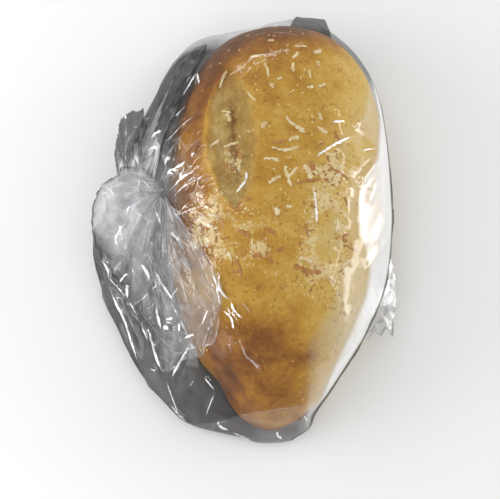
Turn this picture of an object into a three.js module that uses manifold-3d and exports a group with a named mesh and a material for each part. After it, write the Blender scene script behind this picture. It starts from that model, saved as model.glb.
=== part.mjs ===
// A soft oval cheese bread tied up in a clear bag, in millimetres with +Z up.
// The loaf lies along Y with its blunt end at +Y, and the bag is knotted on the -X side.
// The bag is tied shut, so bag and bread are one solid out to the film.
import * as THREE from "three";
import { mergeVertices } from "three/addons/utils/BufferGeometryUtils.js";
import Module from "manifold-3d";

// Loaf
const LOAF_WIDTH = 87;
const LOAF_HEIGHT = 56;
const LOAF_WIDEST_Y = 3;
const BLUNT_LENGTH = 76; // from the widest place to the blunt end
const TAPER_LENGTH = 89; // from the widest place to the tapered end
const BLUNT_POWER = 2.4; // superellipse powers of the two ends, seen from above
const TAPER_POWER = 1.8;
const BLUNT_CROWN_POWER = 3; // superellipse powers of the crown at both ends, seen from the side
const TAPER_CROWN_POWER = 2.4;
const DOME_POWER = 2.15; // superellipse power of the dome, seen from an end
const LOAF_AXIS_X = 14;
const LOAF_AXIS_LEAN = 2.8; // how far the axis swings to +X at the blunt end
const WAIST_SHARE = 0.34; // height of the widest line in a section's height
const FOOT_SHARE = 0.76; // flat base in a section's width
const FOOT_POWER = 2.2; // roundness of the lower edge

// Score in the crust, an open lens beside the crest
const SCORE_CENTRE = new THREE.Vector2(-3, 25);
const SCORE_LENGTH = 54;
const SCORE_WIDTH = 21;
const SCORE_DIP = 2.2; // how far the film sinks into it

// Film round the loaf
const FILM_GAP = 0.8;
const EDGE_ROLL = 0.6; // radius of the folded edge in its height above the table
// Folded edges of the bag from the tapered end to the blunt end, as x, y and height
const KNOT_SIDE_EDGE = [
  [3, -89, 4],
  [-12.5, -86, 4],
  [-24.5, -81, 5],
  [-40.5, -63.5, 5.5],
  [-49.5, -47, 6],
  [-58, -27, 8],
  [-59.96, -10, 14],
  [-51.5, 7, 20],
  [-46.5, 24, 18],
  [-35, 54.5, 13],
  [-25.5, 67, 13],
  [-14.5, 72.5, 14],
  [7, 78.2, 16],
];
const SEAM_SIDE_EDGE = [
  [21, -89, 4],
  [27.5, -85, 4.5],
  [29, -80, 7],
  [34, -73, 10],
  [42, -61, 12],
  [50, -48, 12],
  [58, -30, 11],
  [61.4, -8, 11],
  [61, 13, 13],
  [59.4, 33, 15],
  [56.8, 49, 16],
  [52.6, 59.7, 16],
  [45.4, 70, 17],
  [36.5, 77, 18],
  [34, 78.2, 18],
];
const END_BULGE = 1.8; // how far the film swells out at each end of the loaf
const END_TURNS = [30, 60]; // rings that round each end off, in degrees
const STATIONS = 46;
const SECTION_STEPS = { dome: 28, foot: 6, roll: 12 };
const RIM_POINTS = { base: 8, rise: 14, fall: 18, tuck: 10 };

// Knot in the neck of the bag
const KNOT_CENTRE = new THREE.Vector3(-41.5, 1.5, 24);
const KNOT_RADII = new THREE.Vector3(17.5, 17.5, 20);
const KNOT_PLEATS = 7;
const KNOT_PLEAT_DEPTH = 0.07;
const KNOT_TWIST = 2.2; // turn of the pleats from middle to pole, in radians
const KNOT_STEPS = { round: 28, along: 18 };

// Loose mouth of the bag beyond the knot: a long skirt and a short tail
const MOUTH_CENTRE = new THREE.Vector3(-45, 1, 24);
const SKIRT = {
  start: -96,
  end: -34,
  inner: 6,
  reach: [46, 66, 42],
  pleats: 5,
  pleatHeight: 2.6,
  lift: 2.5,
};
const TAIL = {
  start: 76,
  end: 103,
  inner: 6,
  reach: [43, 44, 36],
  pleats: 2,
  pleatHeight: 1.6,
  lift: 2,
};
const MOUTH_THICKNESS = 2.4;
const MOUTH_SINK = 1; // how far the mouth is fused into the film that it lies on
const MOUTH_LANDING = 26; // distance from the knot at which the mouth lies on the bag
const MOUTH_STEPS = { round: 30, out: 12 };

// Flat corners of the sealed end, seen from above
const CORNER_THICKNESS = 1.4;
const BLUNT_CORNER = {
  height: 14,
  outline: [[19, 74], [20.5, 80], [22, 85.4], [33.4, 85.4], [37, 78], [36, 72]],
};
const TAPER_CORNER = {
  height: 10,
  outline: [[54, -30], [61, -20], [61.8, -34], [60, -47.5], [57.4, -44.5], [55, -47.5], [48, -48]],
};

const BISECTIONS = 40;
const WELD = 1e-4; // points nearer than this are one

const wasm = await Module();
wasm.setup();

const lerp = THREE.MathUtils.lerp;
const toRadians = THREE.MathUtils.degToRad;

function superellipse(u, power) {
  return Math.pow(Math.max(0, 1 - Math.pow(Math.abs(u), power)), 1 / power);
}

// Half width, height and axis of the loaf at a distance along it
function loafAt(y) {
  const blunt = y > LOAF_WIDEST_Y;
  const u = (y - LOAF_WIDEST_Y) / (blunt ? BLUNT_LENGTH : TAPER_LENGTH);
  return {
    halfWidth: (LOAF_WIDTH / 2) * superellipse(u, blunt ? BLUNT_POWER : TAPER_POWER),
    height: LOAF_HEIGHT * superellipse(u, blunt ? BLUNT_CROWN_POWER : TAPER_CROWN_POWER),
    axisX: LOAF_AXIS_X + LOAF_AXIS_LEAN * u,
  };
}

// Points round a cross-section of the loaf, grown by the film's gap
function loafSection(y) {
  const { halfWidth, height, axisX } = loafAt(y);
  if (halfWidth <= 0 || height <= 0) return [];
  const reach = halfWidth + FILM_GAP;
  const top = height + FILM_GAP;
  const waist = top * WAIST_SHARE;
  const { dome, foot } = SECTION_STEPS;
  const points = [];
  for (let i = 0; i <= dome; i++) {
    const across = Math.cos((Math.PI * i) / dome);
    const rise = superellipse(across, DOME_POWER);
    points.push([axisX + reach * across, waist + (top - waist) * rise]);
  }
  for (let i = 1; i <= foot; i++) {
    const drop = i / foot;
    const half = reach * (1 - (1 - FOOT_SHARE) * Math.pow(drop, FOOT_POWER));
    points.push([axisX - half, waist * (1 - drop)], [axisX + half, waist * (1 - drop)]);
  }
  return points;
}

const edgeCurve = (points) => new THREE.CatmullRomCurve3(points.map((p) => new THREE.Vector3(...p)));
const knotSideCurve = edgeCurve(KNOT_SIDE_EDGE);
const seamSideCurve = edgeCurve(SEAM_SIDE_EDGE);

// Where an edge crosses a station: its y rises along the curve
function edgeAt(curve, y) {
  let low = 0;
  let high = 1;
  for (let i = 0; i < BISECTIONS; i++) {
    const middle = (low + high) / 2;
    if (curve.getPoint(middle).y < y) low = middle;
    else high = middle;
  }
  return curve.getPoint((low + high) / 2);
}

// Points round a folded edge, whose outermost point is on the edge curve
function edgeRoll(edge, outward) {
  const radius = EDGE_ROLL * edge.z;
  const points = [];
  for (let i = 0; i < SECTION_STEPS.roll; i++) {
    const angle = (2 * Math.PI * i) / SECTION_STEPS.roll;
    points.push([edge.x + radius * (Math.cos(angle) - outward), edge.z + radius * Math.sin(angle)]);
  }
  return points;
}

// Convex outline of points in a section, counter-clockwise from the lowest left
function hull(points) {
  const sorted = [...points].sort((a, b) => a[0] - b[0] || a[1] - b[1]);
  const turn = (o, a, b) => (a[0] - o[0]) * (b[1] - o[1]) - (a[1] - o[1]) * (b[0] - o[0]);
  const half = (list) => {
    const chain = [];
    for (const p of list) {
      while (chain.length > 1 && turn(chain.at(-2), chain.at(-1), p) <= 1e-9) chain.pop();
      chain.push(p);
    }
    return chain.slice(0, -1);
  };
  return [...half(sorted), ...half(sorted.reverse())];
}

// Film drawn taut round the loaf and both folded edges at one station
function tautSection(y) {
  return hull([
    ...loafSection(y),
    ...edgeRoll(edgeAt(knotSideCurve, y), -1),
    ...edgeRoll(edgeAt(seamSideCurve, y), 1),
  ]);
}

// The outline with an added corner under its middle, which comes first
function fromBase(outline) {
  const xs = outline.map((p) => p[0]);
  const middle = (Math.min(...xs) + Math.max(...xs)) / 2;
  const next = outline.findIndex((p, i) => i > 0 && outline[i - 1][0] <= middle && p[0] > middle);
  const [a, b] = [outline[next - 1], outline[next]];
  const base = [middle, lerp(a[1], b[1], (middle - a[0]) / (b[0] - a[0]))];
  return [base, ...outline.slice(next), ...outline.slice(0, next)];
}

// Height of the film's upper side over a place on the table, or null beyond the film
function filmTop(x, y) {
  const section = tautSection(THREE.MathUtils.clamp(y, KNOT_SIDE_EDGE[0][1], KNOT_SIDE_EDGE.at(-1)[1]));
  let top = null;
  section.forEach(([ax, az], i) => {
    const [bx, bz] = section[(i + 1) % section.length];
    if (ax === bx || (x - ax) * (x - bx) > 0) return;
    const z = lerp(az, bz, (x - ax) / (bx - ax));
    top = top === null ? z : Math.max(top, z);
  });
  return top;
}

// Even points along an outline from one of its corners to another, without the last
function walk(outline, from, to, count) {
  const path = [outline[from]];
  for (let i = from; i !== to; ) {
    i = (i + 1) % outline.length;
    path.push(outline[i]);
  }
  const lengths = path.slice(1).map((p, i) => Math.hypot(p[0] - path[i][0], p[1] - path[i][1]));
  const total = lengths.reduce((a, b) => a + b, 0);
  const points = [];
  for (let k = 0; k < count; k++) {
    let rest = (total * k) / count;
    let i = 0;
    while (i < lengths.length - 1 && rest > lengths[i]) rest -= lengths[i++];
    const share = lengths[i] > 0 ? rest / lengths[i] : 0;
    points.push([lerp(path[i][0], path[i + 1][0], share), lerp(path[i][1], path[i + 1][1], share)]);
  }
  return points;
}

function indexOfMost(outline, measure) {
  return outline.reduce((best, p, i) => (measure(p) > measure(outline[best]) ? i : best), 0);
}

// The film sinks a little into the open score
function scoreDip(x, y) {
  const across = (x - SCORE_CENTRE.x) / (SCORE_WIDTH / 2);
  const along = (y - SCORE_CENTRE.y) / (SCORE_LENGTH / 2);
  return SCORE_DIP * Math.max(0, 1 - across * across - along * along);
}

// One station's ring: base, rise to the crest, fall to the knot side and tuck under
function ring(y) {
  const outline = fromBase(tautSection(y));
  const seam = indexOfMost(outline, (p) => p[0]);
  const crest = indexOfMost(outline, (p) => p[1]);
  const knot = indexOfMost(outline, (p) => -p[0]);
  return [
    ...walk(outline, 0, seam, RIM_POINTS.base),
    ...walk(outline, seam, crest, RIM_POINTS.rise).map((p) => [p[0], p[1] - scoreDip(p[0], y)]),
    ...walk(outline, crest, knot, RIM_POINTS.fall).map((p) => [p[0], p[1] - scoreDip(p[0], y)]),
    ...walk(outline, knot, 0, RIM_POINTS.tuck),
  ].map(([x, z]) => new THREE.Vector3(x, y, z));
}

function meshGeometry(vertices, triangles) {
  return new THREE.BufferGeometry()
    .setAttribute("position", new THREE.Float32BufferAttribute(vertices.flatMap((v) => v.toArray()), 3))
    .setIndex(triangles.flat());
}

function centreOf(points) {
  return points.reduce((sum, p) => sum.add(p), new THREE.Vector3()).divideScalar(points.length);
}

// A ring drawn in towards its middle and pushed along Y, to round an end off
function drawnIn(ring, degrees, bulge) {
  const middle = centreOf(ring);
  const angle = toRadians(degrees);
  const push = new THREE.Vector3(0, bulge * Math.sin(angle), 0);
  return ring.map((p) => middle.clone().lerp(p, Math.cos(angle)).add(push));
}

// Closed skin over rings of equal length, capped at both ends
function loft(rings) {
  const count = rings[0].length;
  const vertices = rings.flat();
  const triangles = [];
  for (let r = 0; r + 1 < rings.length; r++) {
    for (let i = 0; i < count; i++) {
      const a = r * count + i;
      const b = r * count + ((i + 1) % count);
      triangles.push([a, a + count, b], [b, a + count, b + count]);
    }
  }
  const first = vertices.push(centreOf(rings[0])) - 1;
  const last = vertices.push(centreOf(rings.at(-1))) - 1;
  const lastRing = (rings.length - 1) * count;
  for (let i = 0; i < count; i++) {
    const next = (i + 1) % count;
    triangles.push([first, i, next], [last, lastRing + next, lastRing + i]);
  }
  return meshGeometry(vertices, triangles);
}

function filmBody() {
  const near = KNOT_SIDE_EDGE[0][1];
  const far = KNOT_SIDE_EDGE.at(-1)[1];
  const rings = [];
  for (let i = 0; i < STATIONS; i++) {
    const share = 0.5 - 0.5 * Math.cos((Math.PI * i) / (STATIONS - 1));
    rings.push(ring(lerp(near, far, share)));
  }
  const nearEnd = END_TURNS.map((turn) => drawnIn(rings[0], turn, -END_BULGE)).reverse();
  const farEnd = END_TURNS.map((turn) => drawnIn(rings.at(-1), turn, END_BULGE));
  return loft([...nearEnd, ...rings, ...farEnd]);
}

// A bunch of film with slanting pleats
function knot() {
  const geometry = new THREE.SphereGeometry(1, KNOT_STEPS.round, KNOT_STEPS.along);
  const position = geometry.getAttribute("position");
  for (let i = 0; i < position.count; i++) {
    const p = new THREE.Vector3().fromBufferAttribute(position, i);
    const pleat = Math.cos(KNOT_PLEATS * Math.atan2(p.z, p.x) + KNOT_TWIST * p.y);
    const swell = 1 + KNOT_PLEAT_DEPTH * pleat * Math.hypot(p.x, p.z);
    p.multiplyScalar(swell).multiply(KNOT_RADII).add(KNOT_CENTRE);
    position.setXYZ(i, p.x, p.y, p.z);
  }
  return geometry;
}

// Pleated fan of film that leaves the knot and comes to lie on the bag
function mouth({ start, end, inner, reach, pleats, pleatHeight, lift }) {
  const { round, out } = MOUTH_STEPS;
  const upper = [];
  const lower = [];
  for (let i = 0; i <= round; i++) {
    const s = i / round;
    const angle = toRadians(lerp(start, end, s));
    const outer = lerp(lerp(reach[0], reach[2], s), reach[1], Math.sin(Math.PI * s));
    for (let j = 0; j <= out; j++) {
      const r = lerp(inner, outer, j / out);
      const x = MOUTH_CENTRE.x + r * Math.cos(angle);
      const y = MOUTH_CENTRE.y + r * Math.sin(angle);
      const lands = THREE.MathUtils.smoothstep(r, inner, MOUTH_LANDING);
      const wave = pleatHeight * (j / out) * Math.sin(2 * Math.PI * pleats * s);
      const film = filmTop(x, y);
      const rest = Math.max(film ?? edgeAt(knotSideCurve, y).z, MOUTH_THICKNESS + pleatHeight);
      const z = lerp(MOUTH_CENTRE.z, rest + lift + wave, lands);
      upper.push(new THREE.Vector3(x, y, z));
      lower.push(new THREE.Vector3(x, y, Math.min(z - MOUTH_THICKNESS, (film ?? z) - MOUTH_SINK)));
    }
  }
  return slab(upper, lower, round + 1, out + 1);
}

// Closed sheet between two grids of points, both faces split alike
function slab(upper, lower, rows, columns) {
  const count = upper.length;
  const triangles = [];
  for (let i = 0; i + 1 < rows; i++) {
    for (let j = 0; j + 1 < columns; j++) {
      const a = i * columns + j;
      const b = a + columns;
      triangles.push([a, a + 1, b], [b, a + 1, b + 1]);
      triangles.push([count + a, count + b, count + a + 1], [count + b, count + b + 1, count + a + 1]);
    }
  }
  const rim = [];
  for (let j = 0; j < columns; j++) rim.push(j);
  for (let i = 1; i < rows; i++) rim.push(i * columns + columns - 1);
  for (let j = columns - 2; j >= 0; j--) rim.push((rows - 1) * columns + j);
  for (let i = rows - 2; i > 0; i--) rim.push(i * columns);
  rim.forEach((a, k) => {
    const b = rim[(k + 1) % rim.length];
    triangles.push([a, count + a, b], [b, count + a, count + b]);
  });
  return meshGeometry([...upper, ...lower], triangles);
}

function corner({ height, outline }) {
  const shape = new THREE.Shape(outline.map(([x, y]) => new THREE.Vector2(x, y)));
  const plate = new THREE.ExtrudeGeometry(shape, { depth: CORNER_THICKNESS, bevelEnabled: false });
  return plate.translate(0, 0, height - CORNER_THICKNESS / 2);
}

// A closed geometry as a solid, turned right side out if need be
function solidOf(geometry) {
  geometry.deleteAttribute("normal");
  geometry.deleteAttribute("uv");
  const merged = mergeVertices(geometry, WELD);
  const triVerts = new Uint32Array(merged.index.array);
  const vertProperties = merged.attributes.position.array;
  const make = () => new wasm.Manifold(new wasm.Mesh({ numProp: 3, vertProperties, triVerts }));
  const solid = make();
  if (solid.volume() > 0) return solid;
  for (let i = 0; i < triVerts.length; i += 3) {
    [triVerts[i], triVerts[i + 1]] = [triVerts[i + 1], triVerts[i]];
  }
  return make();
}

function geometryOf(solid) {
  const { vertProperties, triVerts } = solid.getMesh();
  const geometry = new THREE.BufferGeometry()
    .setAttribute("position", new THREE.BufferAttribute(vertProperties, 3))
    .setIndex(new THREE.BufferAttribute(triVerts, 1));
  geometry.computeVertexNormals();
  return geometry;
}

const pieces = [filmBody(), knot(), mouth(SKIRT), mouth(TAIL), corner(BLUNT_CORNER), corner(TAPER_CORNER)];
const bagSolid = pieces.map(solidOf).reduce((whole, piece) => whole.add(piece));

const bag = new THREE.Mesh(
  geometryOf(bagSolid),
  new THREE.MeshStandardMaterial({ color: 0xb98f4c, roughness: 0.3, metalness: 0 }),
);
bag.name = "bag";

// The origin is under the middle of the bag, on the table
const box = new THREE.Box3().setFromObject(bag);
const middle = box.getCenter(new THREE.Vector3());
bag.position.set(-middle.x, -middle.y, -box.min.z);

const part = new THREE.Group();
part.add(bag);

export default part;
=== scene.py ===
import math

import bpy
import numpy as np
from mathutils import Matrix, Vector, noise
from mathutils.bvhtree import BVHTree
from mathutils.geometry import delaunay_2d_cdt


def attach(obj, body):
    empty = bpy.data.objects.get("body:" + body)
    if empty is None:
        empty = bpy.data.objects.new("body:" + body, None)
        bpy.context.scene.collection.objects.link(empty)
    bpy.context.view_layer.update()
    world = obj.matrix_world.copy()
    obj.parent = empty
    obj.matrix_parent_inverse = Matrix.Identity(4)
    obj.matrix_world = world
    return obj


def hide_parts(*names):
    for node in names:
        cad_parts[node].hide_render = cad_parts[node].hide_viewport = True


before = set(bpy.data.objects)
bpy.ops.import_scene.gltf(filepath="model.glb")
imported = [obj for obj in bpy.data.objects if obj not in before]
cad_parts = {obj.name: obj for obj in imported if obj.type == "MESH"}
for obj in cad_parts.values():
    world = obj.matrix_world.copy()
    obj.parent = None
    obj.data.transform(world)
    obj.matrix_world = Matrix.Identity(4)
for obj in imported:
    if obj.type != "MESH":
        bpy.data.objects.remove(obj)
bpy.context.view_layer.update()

# Soft oval cheese bread in a clear bag that is knotted at its side.
# Shapes are worked out in millimetres in the frame's axes and made in metres.
mm = 0.001
shift = np.array((-0.77, 2.58, 0.0))  # from the loaf's own axes to the frame's origin
downward = Vector((0, 0, -1))


# Small helpers

def smoothStep(low, high, value):
    t = np.clip((value - low) / (high - low), 0, 1)
    return t * t * (3 - 2 * t)


def between(low, high, soft, value):  # 1 from low to high, with soft ends
    return smoothStep(low - soft, low + soft, value) * (1 - smoothStep(high - soft, high + soft, value))


def superellipse(u, power):
    return np.maximum(0, 1 - np.abs(u) ** power) ** (1 / power)


def hump(value, middle, reach):  # soft rise to 1 at its middle
    return np.exp(-((value - middle) / reach) ** 2)


def bell(x, y, middle, reach, turn=0.0):  # soft spot on the plan, 1 at its middle
    c, s = math.cos(math.radians(turn)), math.sin(math.radians(turn))
    dx, dy = x - middle[0], y - middle[1]
    return np.exp(-((dx * c + dy * s) / reach[0]) ** 2 - ((dy * c - dx * s) / reach[1]) ** 2)


def lumps(points, size, seed, octaves=1):  # smooth noise, about -1 to 1
    offset = Vector((seed * 7.3, seed * 3.1, seed * 5.7))
    return np.array([noise.fractal(Vector(p) / size + offset, 1.0, 2.0, octaves) for p in points])


def smoothPath(knots, steps=24):  # Catmull-Rom through the knots
    k = np.array(knots, float)
    k = np.vstack([2 * k[0] - k[1], k, 2 * k[-1] - k[-2]])
    t = np.linspace(0, 1, steps, endpoint=False)[:, None]
    runs = []
    for a, b, c, d in zip(k[:-3], k[1:-2], k[2:-1], k[3:]):
        runs.append(0.5 * (2 * b + (c - a) * t + (2 * a - 5 * b + 4 * c - d) * t ** 2
                           + (3 * b - a - 3 * c + d) * t ** 3))
    return np.vstack(runs + [k[-2:-1]])


def runsAlong(path):  # length walked at each point of a path
    return np.concatenate([[0], np.cumsum(np.linalg.norm(np.diff(path, axis=0), axis=1))])


def evenPath(points, count):  # even steps along a path, and how far along it each is, 0 to 1
    runs = runsAlong(points)
    at = np.linspace(0, runs[-1], count)
    return np.column_stack([np.interp(at, runs, points[:, k]) for k in range(points.shape[1])]), at / runs[-1]


def gridFaces(rows, columns, wrap):
    i, j = np.meshgrid(np.arange(rows - 1), np.arange(columns if wrap else columns - 1), indexing="ij")
    nextJ = (j + 1) % columns
    a, b = i * columns + j, i * columns + nextJ
    return np.stack([a, b, b + columns, a + columns], axis=-1).reshape(-1, 4).tolist()


def ringNormals(grid):  # outward normals of a grid of closed rings
    across = np.roll(grid, -1, axis=1) - np.roll(grid, 1, axis=1)
    n = np.cross(np.gradient(grid, axis=0), across)
    n = n / np.maximum(np.linalg.norm(n, axis=-1, keepdims=True), 1e-9)
    return -n if np.sum(n * (grid - grid.mean(axis=(0, 1)))) < 0 else n


def facedOut(points, faces):  # turns a closed shape right side out by its volume
    total = 0.0
    for size in (3, 4):
        some = np.array([face for face in faces if len(face) == size], int)
        for k in range(1, size - 1) if len(some) else ():
            a, b, c = (points[some[:, i]] for i in (0, k, k + 1))
            total += np.sum(a * np.cross(b, c))
    return faces if total > 0 else [face[::-1] for face in faces]


def closedTube(grid):  # points and faces of a wrapped grid, with both ends closed by a pole
    rows, columns = grid.shape[:2]
    points = np.vstack([grid.reshape(-1, 3), grid[0].mean(axis=0), grid[-1].mean(axis=0)])
    faces = gridFaces(rows, columns, True)
    first, last, start = rows * columns, rows * columns + 1, (rows - 1) * columns
    for j in range(columns):
        k = (j + 1) % columns
        faces.append([first, k, j])
        faces.append([last, start + j, start + k])
    return points, facedOut(points, faces)


def withPoles(values, pole=None):  # adds the two end poles, which take the end rings' values if none is given
    return np.concatenate([values, [values[0], values[-1]] if pole is None else [pole, pole]])


def addShape(points, faces, morePoints, moreFaces):  # joins a shape to lists of points and faces
    start = sum(len(p) for p in points)
    points.append(morePoints)
    faces += [[v + start for v in face] for face in moreFaces]


def makePiece(name, points, faces, material):
    mesh = bpy.data.meshes.new(name)
    mesh.from_pydata((np.asarray(points) * mm).tolist(), [], faces)
    mesh.shade_smooth()
    mesh.materials.append(material)
    piece = bpy.data.objects.new(name, mesh)
    bpy.context.scene.collection.objects.link(piece)
    return piece


def setFields(piece, **fields):  # one number for each vertex
    for name, values in fields.items():
        field = piece.data.attributes.new(name, "FLOAT", "POINT")
        field.data.foreach_set("value", np.asarray(values, np.float32))


def setVectors(piece, name, values):
    field = piece.data.attributes.new(name, "FLOAT_VECTOR", "POINT")
    field.data.foreach_set("vector", np.asarray(values, np.float32).ravel())


def treeOf(piece):  # search tree of a piece's mesh, in metres
    mesh = piece.data
    return BVHTree.FromPolygons([v.co for v in mesh.vertices], [p.vertices for p in mesh.polygons])


def finishPiece(piece):
    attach(piece, "root")
    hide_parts("bag")


def tone(red, green, blue):  # a screen colour, 0 to 255, as the renderer's linear colour
    c = np.array((red, green, blue)) / 255
    linear = np.where(c <= 0.04045, c / 12.92, ((c + 0.055) / 1.055) ** 2.4)
    return (*linear.tolist(), 1.0)


# Material helpers

def newMaterial(name):
    material = bpy.data.materials.new(name)
    material.use_nodes = True
    material.node_tree.nodes.clear()
    return material, material.node_tree


def addNode(tree, kind, **settings):
    node = tree.nodes.new(kind)
    for key, value in settings.items():
        setattr(node, key, value)
    return node


def link(tree, source, target):
    tree.links.new(source, target)


def feed(tree, value, socket):  # a plain value is set, and another node's output is linked
    if isinstance(value, (int, float, tuple)):
        socket.default_value = value
    elif value is not None:
        link(tree, value, socket)


def fieldNode(tree, name, output="Fac"):
    return addNode(tree, "ShaderNodeAttribute", attribute_name=name).outputs[output]


def mathNode(tree, operation, first, second=None, third=None, clamp=False):
    node = addNode(tree, "ShaderNodeMath", operation=operation, use_clamp=clamp)
    for socket, value in zip(node.inputs, (first, second, third)):
        feed(tree, value, socket)
    return node.outputs[0]


def times(tree, first, second, clamp=False):
    return mathNode(tree, "MULTIPLY", first, second, clamp=clamp)


def timesPlus(tree, first, second, third, clamp=False):
    return mathNode(tree, "MULTIPLY_ADD", first, second, third, clamp)


def pushNode(tree, colour, amount):  # a random colour as a push of up to half that amount each way
    middle = addNode(tree, "ShaderNodeVectorMath", operation="SUBTRACT")
    middle.inputs[1].default_value = (0.5, 0.5, 0.5)
    link(tree, colour, middle.inputs[0])
    push = addNode(tree, "ShaderNodeVectorMath", operation="SCALE")
    link(tree, middle.outputs[0], push.inputs[0])
    link(tree, amount, push.inputs["Scale"])
    return push.outputs[0]


def mixColour(tree, share, first, second):
    node = addNode(tree, "ShaderNodeMix", data_type="RGBA", clamp_factor=True)
    for socket, value in ((node.inputs["Factor"], share), (node.inputs[6], first), (node.inputs[7], second)):
        feed(tree, value, socket)
    return node.outputs[2]


def mixShaders(tree, share, first, second):
    node = addNode(tree, "ShaderNodeMixShader")
    for socket, value in zip(node.inputs, (share, first, second)):
        feed(tree, value, socket)
    return node.outputs[0]


def rampNode(tree, source, stops):  # stops are places and screen colours
    ramp = addNode(tree, "ShaderNodeValToRGB")
    elements = ramp.color_ramp.elements
    while len(elements) < len(stops):
        elements.new(0.5)
    for element, (place, colour) in zip(elements, stops):
        element.position = place
        element.color = tone(*colour)
    link(tree, source, ramp.inputs["Fac"])
    return ramp.outputs["Color"]


def noiseNode(tree, lumpSize, detail=3.0, roughness=0.55, stretch=(1, 1, 1)):
    place = addNode(tree, "ShaderNodeTexCoord").outputs["Object"]
    mapping = addNode(tree, "ShaderNodeMapping")
    mapping.inputs["Scale"].default_value = stretch
    link(tree, place, mapping.inputs["Vector"])
    node = addNode(tree, "ShaderNodeTexNoise")
    node.inputs["Scale"].default_value = 1 / (lumpSize * mm)
    node.inputs["Detail"].default_value = detail
    node.inputs["Roughness"].default_value = roughness
    link(tree, mapping.outputs["Vector"], node.inputs["Vector"])
    return node.outputs["Fac"]


# Camera, at the photograph's angle

camera = {
    "elevation": 78.0,
    "distance": 450.0,
    "aim": (2.72, -12.35, 17.38),
    "focalPixels": 1126.25,
    "imageWidth": 500,
    "imageHeight": 499,
    "sensor": 36.0,
}


def cameraStand():  # the eye in metres, and the directions back and up from it
    rise = math.radians(camera["elevation"])
    back = Vector((0, -math.cos(rise), math.sin(rise)))
    up = Vector((0, math.sin(rise), math.cos(rise)))
    return (Vector(camera["aim"]) + back * camera["distance"]) * mm, back, up


def makeCamera():
    place, back, _ = cameraStand()
    data = bpy.data.cameras.new("photoCamera")
    data.sensor_width = camera["sensor"]
    data.lens = camera["sensor"] * camera["focalPixels"] / camera["imageWidth"]
    data.clip_start = 0.01
    eye = bpy.data.objects.new("photoCamera", data)
    eye.location = place
    eye.rotation_euler = (-back).to_track_quat("-Z", "Y").to_euler()
    bpy.context.scene.collection.objects.link(eye)
    bpy.context.scene.camera = eye


def pixelRay(px, py):  # from the camera through a pixel of the picture, in metres
    eye, back, up = cameraStand()
    ray = -back + Vector((1, 0, 0)) * ((px - camera["imageWidth"] / 2) / camera["focalPixels"])
    ray = ray - up * ((py - camera["imageHeight"] / 2) / camera["focalPixels"])
    return eye, ray.normalized()


makeCamera()
print("camera set")


# Loaf

loaf = {
    "width": 87.0,
    "height": 56.0,
    "widestY": 3.0,
    "bluntLength": 76.0,
    "taperLength": 89.0,
    "bluntPower": 2.4,
    "taperPower": 1.8,
    "crownPower": 2.4,
    "bluntCrownPower": 3.0,
    "domePower": 2.15,
    "axisX": 14.0,
    "axisLean": 2.8,
    "waistShare": 0.34,
    "footShare": 0.76,
    "footPower": 2.2,
    "tipLift": 7.0,  # how far the base curls up at the ends
    "tipPower": 10,  # how suddenly it does
    "leastHeight": 1.0,
    "lowest": 0.25,  # the film lies under the base
    "stations": 300,
    "tipShare": 0.9998,  # the end rings stay just short of the tips
    "ring": {"base": 18, "foot": 22, "dome": 160},
    "swell": 0.5,  # height of the broad unevenness
    "dimple": 0.16,  # height of the fine unevenness
    "melt": 0.45,  # height of the melted cheese
    "dent": {"y": -67, "reach": 8.0, "depth": 3.0},  # in the knot's side
    "bulge": {"y": -47, "reach": 16.0, "height": 2.6},  # fuller taper on the seam side
    "crease": {"middle": (17, -58.5), "reach": (13, 1.4), "turn": 8, "depth": 0.15},
    "ledge": {"x": -16.5, "y": -48, "slant": 0.62, "reach": 1.6, "starts": (-75, -68), "ends": (-56, -44),
              "depth": 0.8},
}
loafTips = shift[1] + loaf["widestY"] + np.array((-loaf["taperLength"], loaf["bluntLength"]))  # along Y

# Score in the crust, as places on the plan
score = {
    "middleY": 24.2,
    "halfLength": 28.5,
    "halfWidth": 9.9,
    "tipPower": 0.72,
    "middleX": -3.5,
    "drift": -1.2,  # how far its middle line leans over its half length
    "edge": (1.08, 0.72),  # where its wall starts and ends, across it from 0 to 1
    "ragged": 0.10,
    "depth": 1.0,
    "roughness": 0.35,
    "lip": 0.7,
    "lips": [(-1.04, 0.13, 1.0), (1.06, 0.16, 0.45)],  # place across, width and share of the height
    "lipEnd": 0.96,
    "crack": [(-4.9, 40.0), (-3.7, 30.4), (-4.2, 22.2), (-2.6, 14.0), (-1.8, 6.0)],
    "crackFades": ((-3, 4), (-6, 3)),  # from and to these places round its near and far ends
    "crackSway": 1.3,
    "crackDepth": 1.1,
    "crackWidth": 1.2,
}

# Browning from 0, pale, to 1, dark: what each place adds. The knot-side entries are painted shade, not
# browning.
bakingAndShade = {
    "level": 0.46,
    "blotches": 0.13,
    "seamSide": -0.22,
    "foot": -0.34,
    "taperFlank": -0.2,
    "flankEdge": [(22, -85), (25, -68), (26, -54), (30, -43), (39, -28), (46, -12)],  # its inner edge
    "bluntEnd": 0.46,
    # painted shade: darker towards the loaf's knot side, by the blunt and by the tapered end
    "paintedShadeBlunt": 0.34,
    "paintedShadeTaper": 0.19,
    # darker along the crease and along the ledge
    "crease": 0.09,
    "ledge": 0.06,
    "lip": -0.16,
    "spots": [  # middle, reach, turn and amount
        ((5, -56), (18, 12), 0, 0.32),
        ((14, -76), (20, 13), 0, 0.22),
        ((-8, -68), (8, 14), -30, 0.14),
        ((6, 56), (30, 18), 0, 0.12),
        ((-23, 24), (10, 36), 0, 0.27),
        ((-20, -12), (9, 17), 0, 0.26),
        ((34, -8), (9, 16), 0, -0.15),
        ((40, -42), (13, 26), 20, -0.14),
        ((48, 25), (12, 34), 0, -0.08),
    ],
}

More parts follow.
